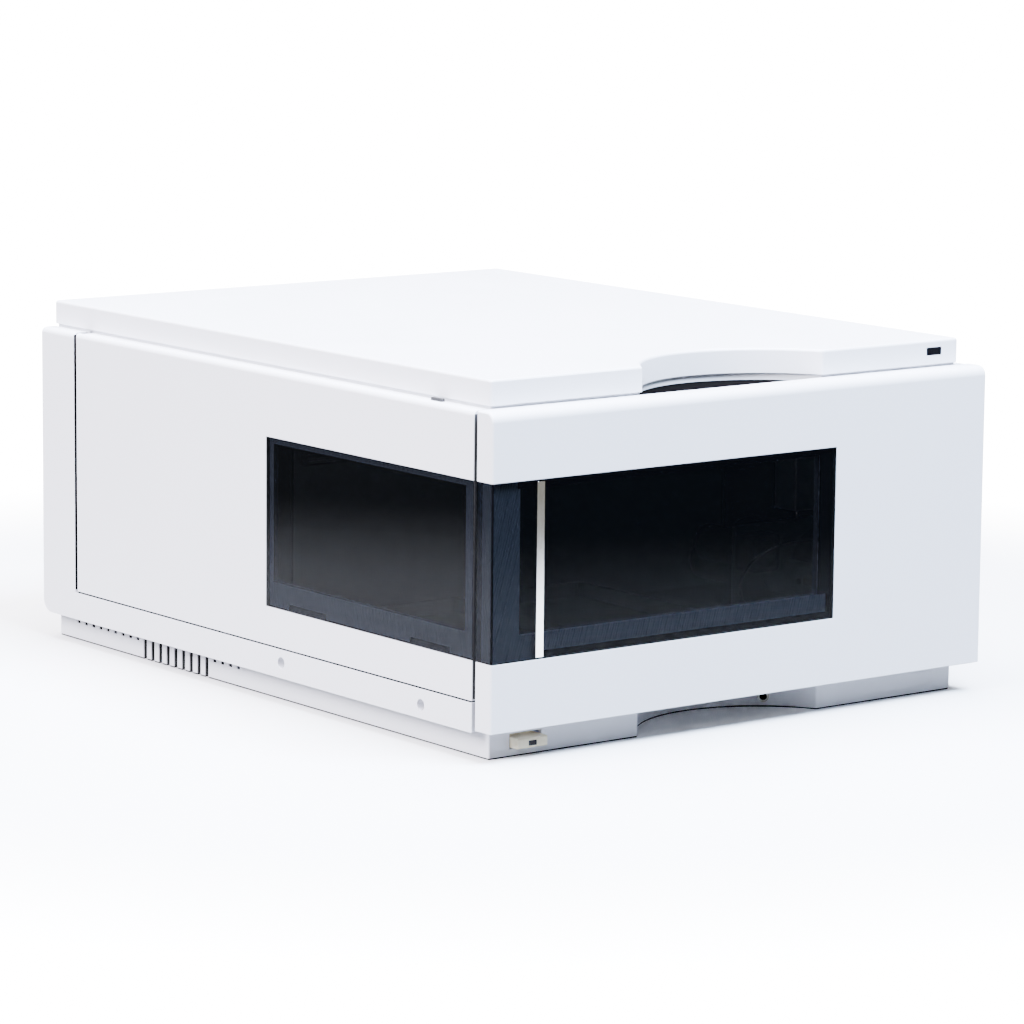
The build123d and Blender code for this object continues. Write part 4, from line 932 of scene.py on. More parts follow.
def merged(node: str) -> bmesh.types.BMesh:
    """Copy a CAD node's mesh, weld it and join its flat faces.

    Args:
        node: The node's name.

    Returns:
        The copy.
    """
    work = bmesh.new()
    work.from_mesh(frame["nodes"][node].data)
    bmesh.ops.remove_doubles(work, verts=work.verts, dist=WELD)
    bmesh.ops.dissolve_limit(work, angle_limit=FLAT_ANGLE, verts=work.verts, edges=work.edges)
    return work


@dataclass
class SubAssembly:
    """Pieces that are built and reported together."""

    title: str = "sub-assembly"

    def dress(self, finish: Finish, edge: float, *nodes: str) -> None:
        """Stand copies with rounded edges and a finish in for CAD nodes.

        Args:
            finish: What they are finished with.
            edge: How wide their edge rounding is; zero leaves the edges as they are.
            nodes: The nodes, whose names the pieces take with an ending.
        """
        for node in nodes:
            piece = shown(f"{node}_shell", merged(node), finish, BODY_OF[node])
            if edge > 0:
                rounded(piece, edge)
            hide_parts(node)
            LOG.info("%s: %s dressed in %s", self.title, node, finish.name)

    def fit(
        self, name: str, work: bmesh.types.BMesh, finish: Finish, with_node: str, instead: bool = False
    ) -> None:
        """Add a piece that rides with a CAD node.

        Args:
            name: The piece's name.
            work: Its shape; freed here.
            finish: What it is finished with.
            with_node: The CAD node whose body it belongs to.
            instead: Whether it stands in for that node.
        """
        piece = shown(name, work, finish, BODY_OF[with_node])
        if instead:
            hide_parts(with_node)
        LOG.info("%s: %s made in %s", self.title, name, finish.name)

    def repeat(
        self,
        name: str,
        kinds: Sequence[tuple[bmesh.types.BMesh, Sequence[Place]]],
        finish: Finish,
        with_node: str,
        instead: bool = False,
    ) -> None:
        """Add a piece that is made of like units, each kind at its own places.

        Args:
            name: The piece's name.
            kinds: Each unit's shape, freed here, and its places.
            finish: What it is finished with.
            with_node: The CAD node whose body it belongs to.
            instead: Whether it stands in for that node.
        """
        repeater = Repeater()
        works = [repeater.spread(unit, places, finish) for unit, places in kinds]
        self.fit(name, joined(works), finish, with_node, instead)

    def build(self) -> None:
        """Make every piece of the sub-assembly."""
        raise NotImplementedError


@dataclass(frozen=True)
class Vents:
    """Vents of one kind along the base: half their width, their lower end and their numbers."""

    half: float
    low: float
    numbers: tuple[int, ...]


@dataclass
class Casing(SubAssembly):
    """Top cover, base, side panels and the small parts in them."""

    title: str = "casing"
    shell_edge: float = 0.5 * MM
    fine_edge: float = 0.15 * MM
    side_screw: StarScrew = StarScrew(
        head_radius=3.0 * MM, head_high=2.5 * MM, shank_radius=1.6 * MM, shank_long=8.6 * MM
    )
    side_screw_x: float = 162.9 * MM
    side_screws: tuple[Flat, ...] = ((-158.8 * MM, 22.5 * MM), (-28.8 * MM, 23.8 * MM))
    rear_screw: StarScrew = StarScrew(shank_long=0.4 * MM)
    rear_screws: tuple[Point, ...] = tuple(point(x, 217.5, z) for x in (-164.5, 164.5) for z in (40, 160))
    guard_screw: StarScrew = StarScrew()
    guard_screw_y: float = 216.5 * MM
    # Size of the black sheet that paints the shadow under the base.
    shadow_sheet_in: float = 0.3 * MM
    shadow_sheet_thick: float = 0.7 * MM
    shadow_sheet_gap: float = 0.02 * MM
    bottom_normal: float = -0.9
    # Black strips in the side panel's seams, below and behind the side door: painted shade in the gaps.
    seam_shade_below: Corners = (point(-172.35, -202.5, 31.2), point(-168.0, 183.0, 31.5))
    seam_shade_behind: Corners = (point(-172.3, 184.6, 33.0), point(-170.0, 184.9, 183.5))
    bezel_corners: Corners = (point(139.9, -206.0, 191.4), point(150.8, -205.85, 195.8))
    short_vents: Vents = Vents(1.5 * MM, 10.0 * MM, (*range(9), *range(18, 22)))
    long_vents: Vents = Vents(1.7 * MM, 0.9 * MM, tuple(range(9, 18)))
    vent_x: float = 161.45 * MM
    vent_rear: float = 195.7 * MM
    vent_pitch: float = 8.03 * MM
    vent_top: float = 12.5 * MM
    shade_deep: float = 1.2 * MM
    shade_thick: float = 0.12 * MM

    def build(self) -> None:
        """Dress the shells and what is set into them."""
        shells = ("top_cover", "base_tray", "left_side_panel", "right_side_panel")
        self.dress(Finishes.CASING, self.shell_edge, *shells)
        self.dress(Finishes.FRAME_WHITE, self.fine_edge, "top_frame")
        self.dress(Finishes.CASING, self.fine_edge, "bare_plates")
        self.dress(Finishes.LENS, self.fine_edge, "status_lens")
        self.dress(Finishes.RUBBER, self.fine_edge, "rubber_feet")
        self.screws()
        # A black sheet under the base paints the shadow in its gap to the floor.
        self.shadow_sheet()
        # Black strips paint the shade in the seams round the side door.
        seam_shades = joined([box(*self.seam_shade_below), box(*self.seam_shade_behind)])
        self.fit("panel_seam_tape", seam_shades, Finishes.PRINT_AND_SHADE, "left_side_panel")
        self.fit("lens_bezel", box(*self.bezel_corners), Finishes.LENS, "status_lens")
        # Dark sheets in the vents paint the shade inside them.
        self.vent_linings()

    def screws(self) -> None:
        """Set star screws into the sides, the side panels' returns and the fan guard."""
        sides = [
            Place((end * self.side_screw_x, y, z), facing.value)
            for y, z in self.side_screws
            for end, facing in ((-1, Facing.LEFT), (1, Facing.RIGHT))
        ]
        rear = [Place(spot, Facing.REAR.value) for spot in self.rear_screws]
        guard = squared((FAN_X, self.guard_screw_y, FAN_Z), FAN_BOLT_REACH)
        kinds = [
            (self.side_screw.solid(), sides),
            (self.rear_screw.solid(), rear),
            (self.guard_screw.solid(), guard),
        ]
        self.repeat("casing_star_screws", kinds, Finishes.SCREW, "casing_screws", instead=True)

    def shadow_sheet(self) -> None:
        """Lay a thin black sheet under the base, a little inside its outline, as painted shadow in the
        gap between the base and the floor.
        """
        work = merged("base_tray")
        low = min(vertex.co.z for vertex in work.verts)
        others = [
            face
            for face in work.faces
            if face.normal.z >= self.bottom_normal or face.calc_center_median().z >= low + WELD
        ]
        bmesh.ops.delete(work, geom=others, context="FACES")
        rim = bmesh.ops.inset_region(
            work, faces=work.faces[:], thickness=self.shadow_sheet_in, use_boundary=True
        )
        bmesh.ops.delete(work, geom=rim["faces"], context="FACES")
        lower = bmesh.ops.extrude_face_region(work, geom=work.faces[:])
        corners = [item for item in lower["geom"] if isinstance(item, bmesh.types.BMVert)]
        bmesh.ops.translate(work, verts=corners, vec=(0.0, 0.0, -self.shadow_sheet_thick))
        bmesh.ops.translate(work, verts=work.verts, vec=(0.0, 0.0, -self.shadow_sheet_gap))
        bmesh.ops.recalc_face_normals(work, faces=work.faces)
        self.fit("base_underlay", work, Finishes.PRINT_AND_SHADE, "base_tray")

    def vent_linings(self) -> None:
        """Line the sides and the floor of every vent in the base with dark sheets, as painted shade
        inside the vents.
        """
        kinds = []
        for vents in (self.short_vents, self.long_vents):
            places = [
                Place((end * self.vent_x, self.vent_rear - self.vent_pitch * number, 0.0))
                for number in vents.numbers
                for end in (-1, 1)
            ]
            kinds.append((self.vent_shade_lining(vents), places))
        self.repeat("vent_linings", kinds, Finishes.VENT_SHADE, "base_tray")

    def vent_shade_lining(self, vents: Vents) -> bmesh.types.BMesh:
        """Fold the dark sheets of one vent, painted shade, out of two sides and a floor.

        Args:
            vents: The vent's kind.

        Returns:
            The dark sheets.
        """
        deep, thin, top = self.shade_deep, self.shade_thick, self.vent_top
        half, low = vents.half, vents.low
        return joined(
            [
                box((-deep, half - thin, low), (deep, half + thin / 2, top)),
                box((-deep, -half - thin / 2, low), (deep, thin - half, top)),
                box((-deep, -half, low - thin / 2), (deep, half, low + thin)),
            ]
        )


@dataclass
class FrontDoor(SubAssembly):
    """Front door with its window, window frame and grip strip."""

    title: str = "front door"
    shell_edge: float = 0.6 * MM
    pane_edge: float = 0.25 * MM
    fine_edge: float = 0.12 * MM
    fold_edge: float = 0.08 * MM
    print_front: float = -217.9 * MM
    print_back: float = -217.8 * MM
    pane_low: float = 54.0 * MM
    pane_high: float = 147.6 * MM
    pane_right: float = 61.8 * MM
    lower_bar_left: float = -138.4 * MM
    upper_bar_left: float = -154.5 * MM
    border_wide: float = 3.4 * MM
    band_wide: float = 9.6 * MM
    band_low: float = 67.5 * MM
    # The dark line at the pane's fold is painted shade where the bend turns edge-on.
    fold_outer: Flat = (-172.2 * MM, -219.7 * MM)
    fold_inner: Flat = (-171.4 * MM, -218.9 * MM)

    def build(self) -> None:
        """Dress the door's pieces."""
        self.dress(Finishes.CASING, self.shell_edge, "front_door")
        self.dress(Finishes.WINDOW, self.fold_edge, "front_window")
        self.dress(Finishes.FRAME_GREY, self.pane_edge, "window_frame")
        self.dress(Finishes.STRIP, self.fine_edge, "grip_strip")
        self.border()

    def border(self) -> None:
        """Print black borders into the pane along its edges and over the end band, and paint a dark line
        of shade at the fold.
        """
        near, far, wide = self.print_front, self.print_back, self.border_wide
        low, high, right = self.pane_low, self.pane_high, self.pane_right
        bars = [
            box((self.lower_bar_left, near, low), (right, far, low + wide)),
            box((self.upper_bar_left, near, high - wide), (right, far, high)),
            box((right - wide, near, low + wide), (right, far, self.band_low)),
            box((right - self.band_wide, near, self.band_low), (right, far, high - wide)),
            # Painted shade along the pane's fold.
            box((*self.fold_outer, low), (*self.fold_inner, high)),
        ]
        self.fit("window_border", joined(bars), Finishes.PRINT_AND_SHADE, "front_window")


@dataclass
class SideDoor(SubAssembly):
    """Side door with its window, window frame and sprung latch."""

    title: str = "side door"
    shell_edge: float = 0.5 * MM
    pane_edge: float = 0.2 * MM
    # Dark strip in the gap between the side door and the front door: painted shade.
    seam_shade_corners: Corners = (point(-172.1, -203.95, 33.2), point(-170.0, -203.6, 182.7))

    def build(self) -> None:
        """Dress the door's pieces, and put a dark strip of painted shade into its front seam."""
        self.dress(Finishes.CASING, self.shell_edge, "side_door")
        self.dress(Finishes.WINDOW, self.pane_edge, "side_window")
        self.dress(Finishes.FRAME_GREY, self.pane_edge, "side_window_frame")
        self.dress(Finishes.BLACK, self.pane_edge, "side_latch")
        self.fit("seam_seal", box(*self.seam_shade_corners), Finishes.RUBBER, "side_door")


@dataclass
class PowerSwitch(SubAssembly):
    """Power button, its lens and the rod behind it."""

    title: str = "power switch"
    edge: float = 0.3 * MM
    fine_edge: float = 0.1 * MM

    def build(self) -> None:
        """Dress the button and its rod."""
        self.dress(Finishes.BUTTON, self.edge, "power_button")
        self.dress(Finishes.LENS, self.fine_edge, "button_lens")
        self.dress(Finishes.NATURAL, self.fine_edge, "switch_rod")


@dataclass
class Chassis(SubAssembly):
    """Sheet metal inside the casing, and what the doors hang on."""

    title: str = "chassis"
    sheet_edge: float = 0.15 * MM

    def build(self) -> None:
        """Dress the sheets, magnets and hinge brackets."""
        self.dress(Finishes.SHEET, self.sheet_edge, "bulkhead", "rear_panel")
        # The chassis sides are near-black so the seams and vents in front of them look shaded: painted
        # shade.
        self.dress(Finishes.DARK_DECK_AND_SHADE, self.sheet_edge, "chassis_left", "chassis_right", "inner_deck")
        self.dress(Finishes.STAINLESS, self.sheet_edge, "hinge_brackets")
        self.dress(Finishes.BLACK, self.sheet_edge, "door_magnets")


@dataclass
class SampleChamber(SubAssembly):
    """Floor of the chamber, the plate tray, the drain and the leak sensor."""

    title: str = "sample chamber"
    edge: float = 0.3 * MM
    drain_mouth: Point = point(41.55, -186.77, 6.6)
    drain_out: Point = (-0.611, -0.792, 0.0)
    drain_corners: int = 40
    # Profile of a dark cup in the drain's bore: painted shade in the hollow.
    cup: tuple[Ring, ...] = profile(
        (0.0, -6.0), (2.05, -6.0), (2.05, -0.3), (1.95, -0.3), (1.95, -5.8), (0.0, -5.8)
    )

    def build(self) -> None:
        """Dress the chamber's pieces."""
        self.dress(Finishes.STAINLESS, self.edge, "chamber_floor")
        self.dress(Finishes.ALUMINIUM, self.edge, "plate_tray")
        self.dress(Finishes.DRAIN, 0.0, "drain_spigot")
        self.dress(Finishes.BLACK, self.edge, "leak_sensor")
        self.drain_lining()

    def drain_lining(self) -> None:
        """Set a dark cup into the mouth of the drain's bore, as painted shade inside it."""
        up = (0.0, 0.0, 1.0)
        turn = aimed(up, tuple(Vector(self.drain_out).cross(up)))
        cup = moved(turned(self.cup, self.drain_corners), self.drain_mouth, turn)
        self.fit("drain_lining", cup, Finishes.PRINT_AND_SHADE, "drain_spigot")


@dataclass
class Transport(SubAssembly):
    """Needle transport: rails, carriage, belt drive, swing arm and needle."""

    title: str = "transport"
    edge: float = 0.3 * MM
    fine_edge: float = 0.1 * MM
    belt_y: float = -30.0 * MM
    belt_z: float = 152.5 * MM
    belt_reach: float = 8.3 * MM
    belt_start: float = -138.0 * MM
    tooth_count: int = 102
    tooth_pitch: float = 2.6 * MM
    tooth_half: float = 0.7 * MM
    tooth_root: float = 0.1 * MM
    tooth_high: float = 0.6 * MM
    tooth_long: float = 5.6 * MM
    tooth_taper: float = 0.65
    motor_x: float = 134.0 * MM
    plate_half: float = 21.1 * MM
    plate_thick: float = 7.0 * MM
    plate_edge: float = 0.7 * MM
    plate_fronts: Flat = (-10.4 * MM, 20.7 * MM)
    plate_screw: StarScrew = StarScrew(
        head_radius=2.6 * MM, head_high=1.8 * MM, shank_radius=1.4 * MM, shank_long=2.0 * MM
    )
    plate_screw_reach: float = 15.5 * MM

    def build(self) -> None:
        """Dress the drive and the arm."""
        self.dress(Finishes.STAINLESS, self.fine_edge, "rails_and_axle")
        self.dress(Finishes.ALUMINIUM, self.edge, "x_carriage")
        self.dress(Finishes.MOTOR, self.edge, "swing_motor")
        self.dress(Finishes.ALUMINIUM, self.edge, "swing_arm", "needle_carrier")
        self.dress(Finishes.STAINLESS, 0.0, "needle")
        self.dress(Finishes.RUBBER, 0.0, "belt")
        self.dress(Finishes.ALUMINIUM, 0.0, "drive_pulley", "idler_pulley")
        self.dress(Finishes.MOTOR, self.edge, "carriage_motor")
        self.belt_teeth()
        self.motor_plates()

    def belt_teeth(self) -> None:
        """Set the belt's teeth along the inside of both runs."""
        half, tip = self.tooth_half, self.tooth_half * self.tooth_taper
        root, high, reach = -self.tooth_root, self.tooth_high, self.tooth_long / 2
        tooth = prism([(-half, root), (half, root), (tip, high), (-tip, high)], -reach, reach)
        unit = moved(tooth, (0.0, 0.0, 0.0), Facing.FRONT.value)
        places = []
        for index in range(self.tooth_count):
            x = self.belt_start + index * self.tooth_pitch
            places.append(Place((x, self.belt_y, self.belt_z - self.belt_reach)))
            places.append(Place((x, self.belt_y, self.belt_z + self.belt_reach), (0.0, math.pi, 0.0)))
        self.repeat("belt_teeth", [(unit, places)], Finishes.RUBBER, "belt")

    def motor_plates(self) -> None:
        """Close the carriage motor with an end plate at each end and four screws."""
        half = self.plate_half
        plates = [
            box(
                (self.motor_x - half, front, self.belt_z - half),
                (self.motor_x + half, front + self.plate_thick, self.belt_z + half),
            )
            for front in self.plate_fronts
        ]
        soft = joined([softened(plate, self.plate_edge) for plate in plates])
        self.fit("carriage_motor_plates", soft, Finishes.ALUMINIUM, "carriage_motor")
        seat = (self.motor_x, max(self.plate_fronts) + self.plate_thick, self.belt_z)
        screws = (self.plate_screw.solid(), squared(seat, self.plate_screw_reach))
        self.repeat("carriage_motor_screws", [screws], Finishes.SCREW, "carriage_motor")


@dataclass
class SamplingUnit(SubAssembly):
    """Injection valve, metering head, wash pump and needle seat on their frame."""

    title: str = "sampling unit"
    edge: float = 0.25 * MM
    valve_seat: Point = point(128.0, -162.0, 66.0)
    valve_port_reach: float = 7.0 * MM
    valve_bolt: StarScrew = StarScrew(
        head_radius=2.5 * MM, head_high=2.2 * MM, shank_radius=1.5 * MM, shank_long=1.0 * MM
    )
    valve_bolt_reach: float = 14.4 * MM
    meter_seat: Point = point(97.0, -158.0, 62.0)
    meter_bolt: StarScrew = StarScrew(
        head_radius=1.7 * MM, head_high=1.3 * MM, shank_radius=1.0 * MM, shank_long=1.0 * MM
    )
    meter_bolt_reach: float = 6.4 * MM
    flutes: int = 12
    nut_corners: int = 72
    nut: tuple[Ring, ...] = profile(
        (0.8, -7.0), (2.4, -7.0), (2.4, 0.0), (2.9, 0.0), (3.05, 0.3, 0.045),
        (3.05, 7.2, 0.045), (2.7, 8.4, 0.045), (1.9, 9.0), (0.8, 9.0),
    )

    def build(self) -> None:
        """Dress the unit's pieces."""
        self.dress(Finishes.SHEET, self.edge, "sampling_frame", "seat_bracket")
        self.dress(Finishes.NATURAL, self.edge, "seat_and_wash_port")
        self.dress(Finishes.STAINLESS, self.edge, "valve_head")
        self.dress(Finishes.NATURAL, 0.0, "valve_rotor")
        self.dress(Finishes.ALUMINIUM, self.edge, "metering_head")
        self.dress(Finishes.STAINLESS, self.edge, "metering_plunger")
        self.dress(Finishes.PUMP, self.edge, "pump_cassette", "pump_rotor")
        self.dress(Finishes.MOTOR, self.edge, "sampling_drives")
        self.dress(Finishes.STAINLESS, 0.0, "capillaries")
        self.fittings()
        self.bolts()

    def fittings(self) -> None:
        """Turn the fluted nuts of the valve's six ports and the metering head."""
        places = [Place(self.meter_seat, Facing.FRONT.value)]
        places += around(self.valve_seat, self.valve_port_reach, range(30, 390, 60))
        nuts = (turned(self.nut, self.nut_corners, self.flutes), places)
        self.repeat("fluted_nuts", [nuts], Finishes.NATURAL, "port_fittings", instead=True)

    def bolts(self) -> None:
        """Set the bolts that hold the valve head and the metering head."""
        valve = around(self.valve_seat, self.valve_bolt_reach, (90, 210, 330))
        meter = around(self.meter_seat, self.meter_bolt_reach, (180, 0))
        kinds = [(self.valve_bolt.solid(), valve), (self.meter_bolt.solid(), meter)]
        self.repeat("head_bolts", kinds, Finishes.SCREW, "valve_head")


@dataclass
class Electronics(SubAssembly):
    """Power supply, main board and the sockets at the rear."""

    title: str = "electronics"
    edge: float = 0.25 * MM
    signal_sockets: tuple[float, ...] = (60.0 * MM, 98.0 * MM, 136.0 * MM)
    contact_columns: tuple[tuple[int, float], ...] = ((5, 24.45 * MM), (4, 27.25 * MM))
    contact_pitch: float = 2.77 * MM
    contact_y: float = 219.0 * MM
    contact_corners: int = 20
    contact: tuple[Ring, ...] = profile(
        (0.0, -0.3), (0.75, -0.3), (0.75, 0.06), (0.48, 0.06), (0.48, -0.25), (0.0, -0.25)
    )
    jack_x: float = 25.85 * MM
    jack_y: float = 215.0 * MM
    jack_reach: float = 13.55 * MM
    jack_nut: tuple[Ring, ...] = profile((0.9, -0.2), (1.85, -0.2), (1.85, 2.2), (1.6, 2.5), (0.9, 2.5))
    spring: tuple[Flat, ...] = outline((0.0, 0.0), (0.6, 0.0), (0.15, 2.2), (0.0, 2.4))
    spring_wide: float = 0.4 * MM
    spring_count: int = 8
    spring_pitch: float = 1.02 * MM
    spring_row: Point = point(21.05, 213.3, 164.0)
    inlet_x: float = -108.0 * MM
    inlet_z: float = 46.0 * MM
    pin_pitch: float = 7.0 * MM
    pin_lifts: Point = (-2.0 * MM, 2.0 * MM, -2.0 * MM)
    pin_low: Point = point(-1.05, 200.4, -2.05)
    pin_high: Point = point(1.05, 214.45, 2.05)
    pin_edge: float = 0.4 * MM
    inlet_screw: StarScrew = StarScrew(
        head_radius=2.6 * MM, head_high=0.9 * MM, shank_radius=1.6 * MM, shank_long=1.5 * MM
    )
    inlet_screw_y: float = 217.4 * MM
    inlet_screw_reach: float = 20.0 * MM
    board_face: float = 15.0 * MM
    chip_columns: int = 5
    chip_column_pitch: float = 34.0 * MM
    chip_row_y: float = 80.0 * MM
    chip_heights: tuple[float, ...] = (60.0 * MM, 100.0 * MM, 140.0 * MM)
    chip_reach: float = 7.9 * MM
    leg_count: int = 9
    leg_pitch: float = 2.0 * MM
    leg_half: float = 0.3 * MM
    leg: tuple[Flat, ...] = outline(
        (0.0, 1.6), (0.9, 1.6), (1.2, 0.3), (2.0, 0.3), (2.0, 0.0), (1.0, 0.0), (0.7, 1.3), (0.0, 1.3)
    )
    capacitor_row_y: float = 97.0 * MM
    capacitor_heights: tuple[float, ...] = (80.0 * MM, 120.0 * MM)
    capacitor_corners: int = 28
    capacitor: tuple[Ring, ...] = profile(
        (0.0, -0.1), (3.8, -0.1), (4.0, 0.4), (4.0, 1.0), (3.7, 1.5), (4.0, 2.0),
        (4.0, 8.6), (3.6, 9.0), (3.2, 9.0), (3.0, 8.8), (0.0, 8.8),
    )

    def build(self) -> None:
        """Dress the boxes, the board and the sockets."""
        self.dress(Finishes.ALUMINIUM, self.edge, "power_supply")
        self.dress(Finishes.BOARD, 0.0, "main_board")
        self.dress(Finishes.BLACK, self.edge, "mains_inlet", "rear_sockets")
        self.signal_contacts()
        self.network_contacts()
        self.inlet_metal()
        self.chip_legs()
        self.capacitors()

    def signal_contacts(self) -> None:
        """Set nine contacts and two jack nuts into each signal socket."""
        contacts, nuts = [], []
        for middle in self.signal_sockets:
            for count, x in self.contact_columns:
                for z in spaced(middle, count, self.contact_pitch):
                    contacts.append(Place((x, self.contact_y, z), Facing.REAR.value))
            for z in (middle - self.jack_reach, middle + self.jack_reach):
                nuts.append(Place((self.jack_x, self.jack_y, z), Facing.REAR.value))
        kinds = [
            (turned(self.contact, self.contact_corners), contacts),
            (turned(self.jack_nut, 6), nuts),
        ]
        self.repeat("signal_contacts_and_nuts", kinds, Finishes.STAINLESS, "rear_sockets")

    def network_contacts(self) -> None:
        """Lay eight spring contacts into the network socket."""
        x, y, middle = self.spring_row
        places = [Place((x, y, z)) for z in spaced(middle, self.spring_count, self.spring_pitch)]
        unit = prism(self.spring, 0.0, self.spring_wide)
        self.repeat("network_contacts", [(unit, places)], Finishes.BRASS, "rear_sockets")

    def inlet_metal(self) -> None:
        """Plate the inlet's pins and screw its flange down."""
        pins = []
        for x, lift in zip(spaced(self.inlet_x, 3, self.pin_pitch), self.pin_lifts):
            middle = Vector((x, 0.0, self.inlet_z + lift))
            pin = box(tuple(middle + Vector(self.pin_low)), tuple(middle + Vector(self.pin_high)))
            pins.append(softened(pin, self.pin_edge))
        self.fit("inlet_pins", joined(pins), Finishes.BRASS, "mains_inlet")
        places = [
            Place((self.inlet_x + across, self.inlet_screw_y, self.inlet_z), Facing.REAR.value)
            for across in (-self.inlet_screw_reach, self.inlet_screw_reach)
        ]
        screws = (self.inlet_screw.solid(), places)
        self.repeat("inlet_screws", [screws], Finishes.SCREW, "mains_inlet")

    def chip_legs(self) -> None:
        """Solder a row of bent legs along both sides of every chip."""
        unit = prism(self.leg, -self.leg_half, self.leg_half)
        up = aimed((0.0, 0.0, 1.0), (-1.0, 0.0, 0.0))
        down = aimed((0.0, 0.0, -1.0), (-1.0, 0.0, 0.0))
        places = []
        for column in spaced(self.chip_row_y, self.chip_columns, self.chip_column_pitch):
            for middle in self.chip_heights:
                for y in spaced(column, self.leg_count, self.leg_pitch):
                    places.append(Place((self.board_face, y, middle + self.chip_reach), up))
                    places.append(Place((self.board_face, y, middle - self.chip_reach), down))
        self.repeat("chip_legs", [(unit, places)], Finishes.STAINLESS, "main_board")

    def capacitors(self) -> None:
        """Stand round capacitors between the chips."""
        places = [
            Place((self.board_face, y, z), Facing.LEFT.value)
            for y in spaced(self.capacitor_row_y, self.chip_columns, self.chip_column_pitch)
            for z in self.capacitor_heights
        ]
        cans = (turned(self.capacitor, self.capacitor_corners), places)
        self.repeat("board_capacitors", [cans], Finishes.ALUMINIUM, "main_board")


@dataclass
class Fan(SubAssembly):
    """Rear fan: frame, impeller and wire guard."""

    title: str = "fan"
    edge: float = 0.3 * MM
    hub_y: float = 192.7 * MM
    hub_corners: int = 64
    hub: tuple[Ring, ...] = profile(
        (0.0, -4.0), (2.0, -4.0), (2.0, 0.0), (17.4, 0.0), (18.0, 0.6), (18.0, 16.6),
        (17.3, 17.7), (16.2, 18.0), (13.6, 18.0), (13.2, 17.7), (0.0, 17.7),
    )
    blade_y: float = 201.7 * MM
    blade_count: int = 7
    blade_steps: int = 8
    blade_root: float = 17.2 * MM
    blade_tip: float = 36.2 * MM
    root_degrees: float = 42.0
    fall_degrees: float = 8.0
    chord: float = 18.6 * MM
    bow: float = 1.6 * MM
    rim_half: float = 0.25 * MM
    swell_half: float = 0.55 * MM
    guard_y: float = 215.75 * MM
    guard_radii: tuple[float, ...] = (13.2 * MM, 24.2 * MM, 35.2 * MM)
    guard_corners: int = 96
    wire: float = 0.74 * MM
    spoke_reach: float = 47.6 * MM
    spoke_corners: int = 12
    eye_y: float = 215.0 * MM
    eye_corners: int = 32
    eye: tuple[Ring, ...] = profile(
        (1.75, 0.0), (3.2, 0.0), (3.4, 0.2), (3.4, 1.3), (3.2, 1.5), (1.75, 1.5)
    )

    def build(self) -> None:
        """Dress the fan's pieces."""
        self.dress(Finishes.BLACK, self.edge, "fan_frame")
        self.rotor()
        self.guard()

    def rotor(self) -> None:
        """Make the hub with its shaft and seven bowed blades."""
        hub = moved(turned(self.hub, self.hub_corners), (FAN_X, self.hub_y, FAN_Z), Facing.REAR.value)
        lying = Matrix.Rotation(Facing.REAR.value[0], 3, "X")
        places = []
        for index in range(self.blade_count):
            turn = lying @ Matrix.Rotation(2 * math.pi * index / self.blade_count, 3, "Z")
            places.append(Place((FAN_X, self.blade_y, FAN_Z), tuple(turn.to_euler())))
        blades = Repeater().spread(self.blade(), places, Finishes.BLACK)
        self.fit("fan_rotor", joined([hub, blades]), Finishes.BLACK, "fan_impeller", instead=True)

    def blade_spot(self, side: int, step: int, cut: int) -> Point:
        """Return a point on a blade that lies along X.

        Args:
            side: 1 on its upper side, -1 on its lower side.
            step: How many steps out from the root it is.
            cut: How many steps it is across the chord.

        Returns:
            The point.
        """
        out = step / self.blade_steps
        share = 2 * cut / self.blade_steps - 1
        pitch = math.radians(self.root_degrees - self.fall_degrees * out)
        along = share * self.chord / 2
        half = self.rim_half + self.swell_half * (1 - share**4)
        lift = side * half + self.bow * (0.5 - share**2)
        return (
            self.blade_root + out * (self.blade_tip - self.blade_root),
            -along * math.sin(pitch) + lift * math.cos(pitch),
            along * math.cos(pitch) + lift * math.sin(pitch),
        )

    def blade(self) -> bmesh.types.BMesh:
        """Skin one blade along X, bowed, and flatter towards its tip.

        Returns:
            The blade.
        """
        work = bmesh.new()
        last = self.blade_steps
        marks = range(last + 1)
        upper, lower = (
            [[work.verts.new(self.blade_spot(side, step, cut)) for cut in marks] for step in marks]
            for side in (1, -1)
        )
        for rows in (upper, lower):
            for near, far in zip(rows, rows[1:]):
                for cut in range(last):
                    work.faces.new((near[cut], near[cut + 1], far[cut + 1], far[cut]))
        rim = [(0, cut) for cut in range(last)] + [(step, last) for step in range(last)]
        rim += [(last, cut) for cut in range(last, 0, -1)] + [(step, 0) for step in range(last, 0, -1)]
        for (a, b), (c, d) in zip(rim, rim[1:] + rim[:1]):
            work.faces.new((upper[a][b], upper[c][d], lower[c][d], lower[a][b]))
        bmesh.ops.recalc_face_normals(work, faces=work.faces)
        return work

    def guard(self) -> None:
        """Bend the guard from round wire, with an eye under each screw."""
        middle = (FAN_X, self.guard_y, FAN_Z)
        rings = [Place(middle, Facing.REAR.value, radius) for radius in self.guard_radii]
        given = {"Wire": self.wire, "Corners": self.guard_corners}
        reach = self.spoke_reach
        rod = [Ring(0.0, -reach), Ring(self.wire, -reach), Ring(self.wire, reach), Ring(0.0, reach)]
        spokes = [Place(middle, (0.0, turn, 0.0)) for turn in (math.pi / 4, -math.pi / 4)]
        eyes = squared((FAN_X, self.eye_y, FAN_Z), FAN_BOLT_REACH)
        repeater = Repeater()
        parts = [
            WireRings().run(rings, Finishes.STAINLESS, given),
            repeater.spread(turned(rod, self.spoke_corners), spokes, Finishes.STAINLESS),
            repeater.spread(turned(self.eye, self.eye_corners), eyes, Finishes.STAINLESS),
        ]
        self.fit("wire_guard", joined(parts), Finishes.STAINLESS, "fan_guard", instead=True)


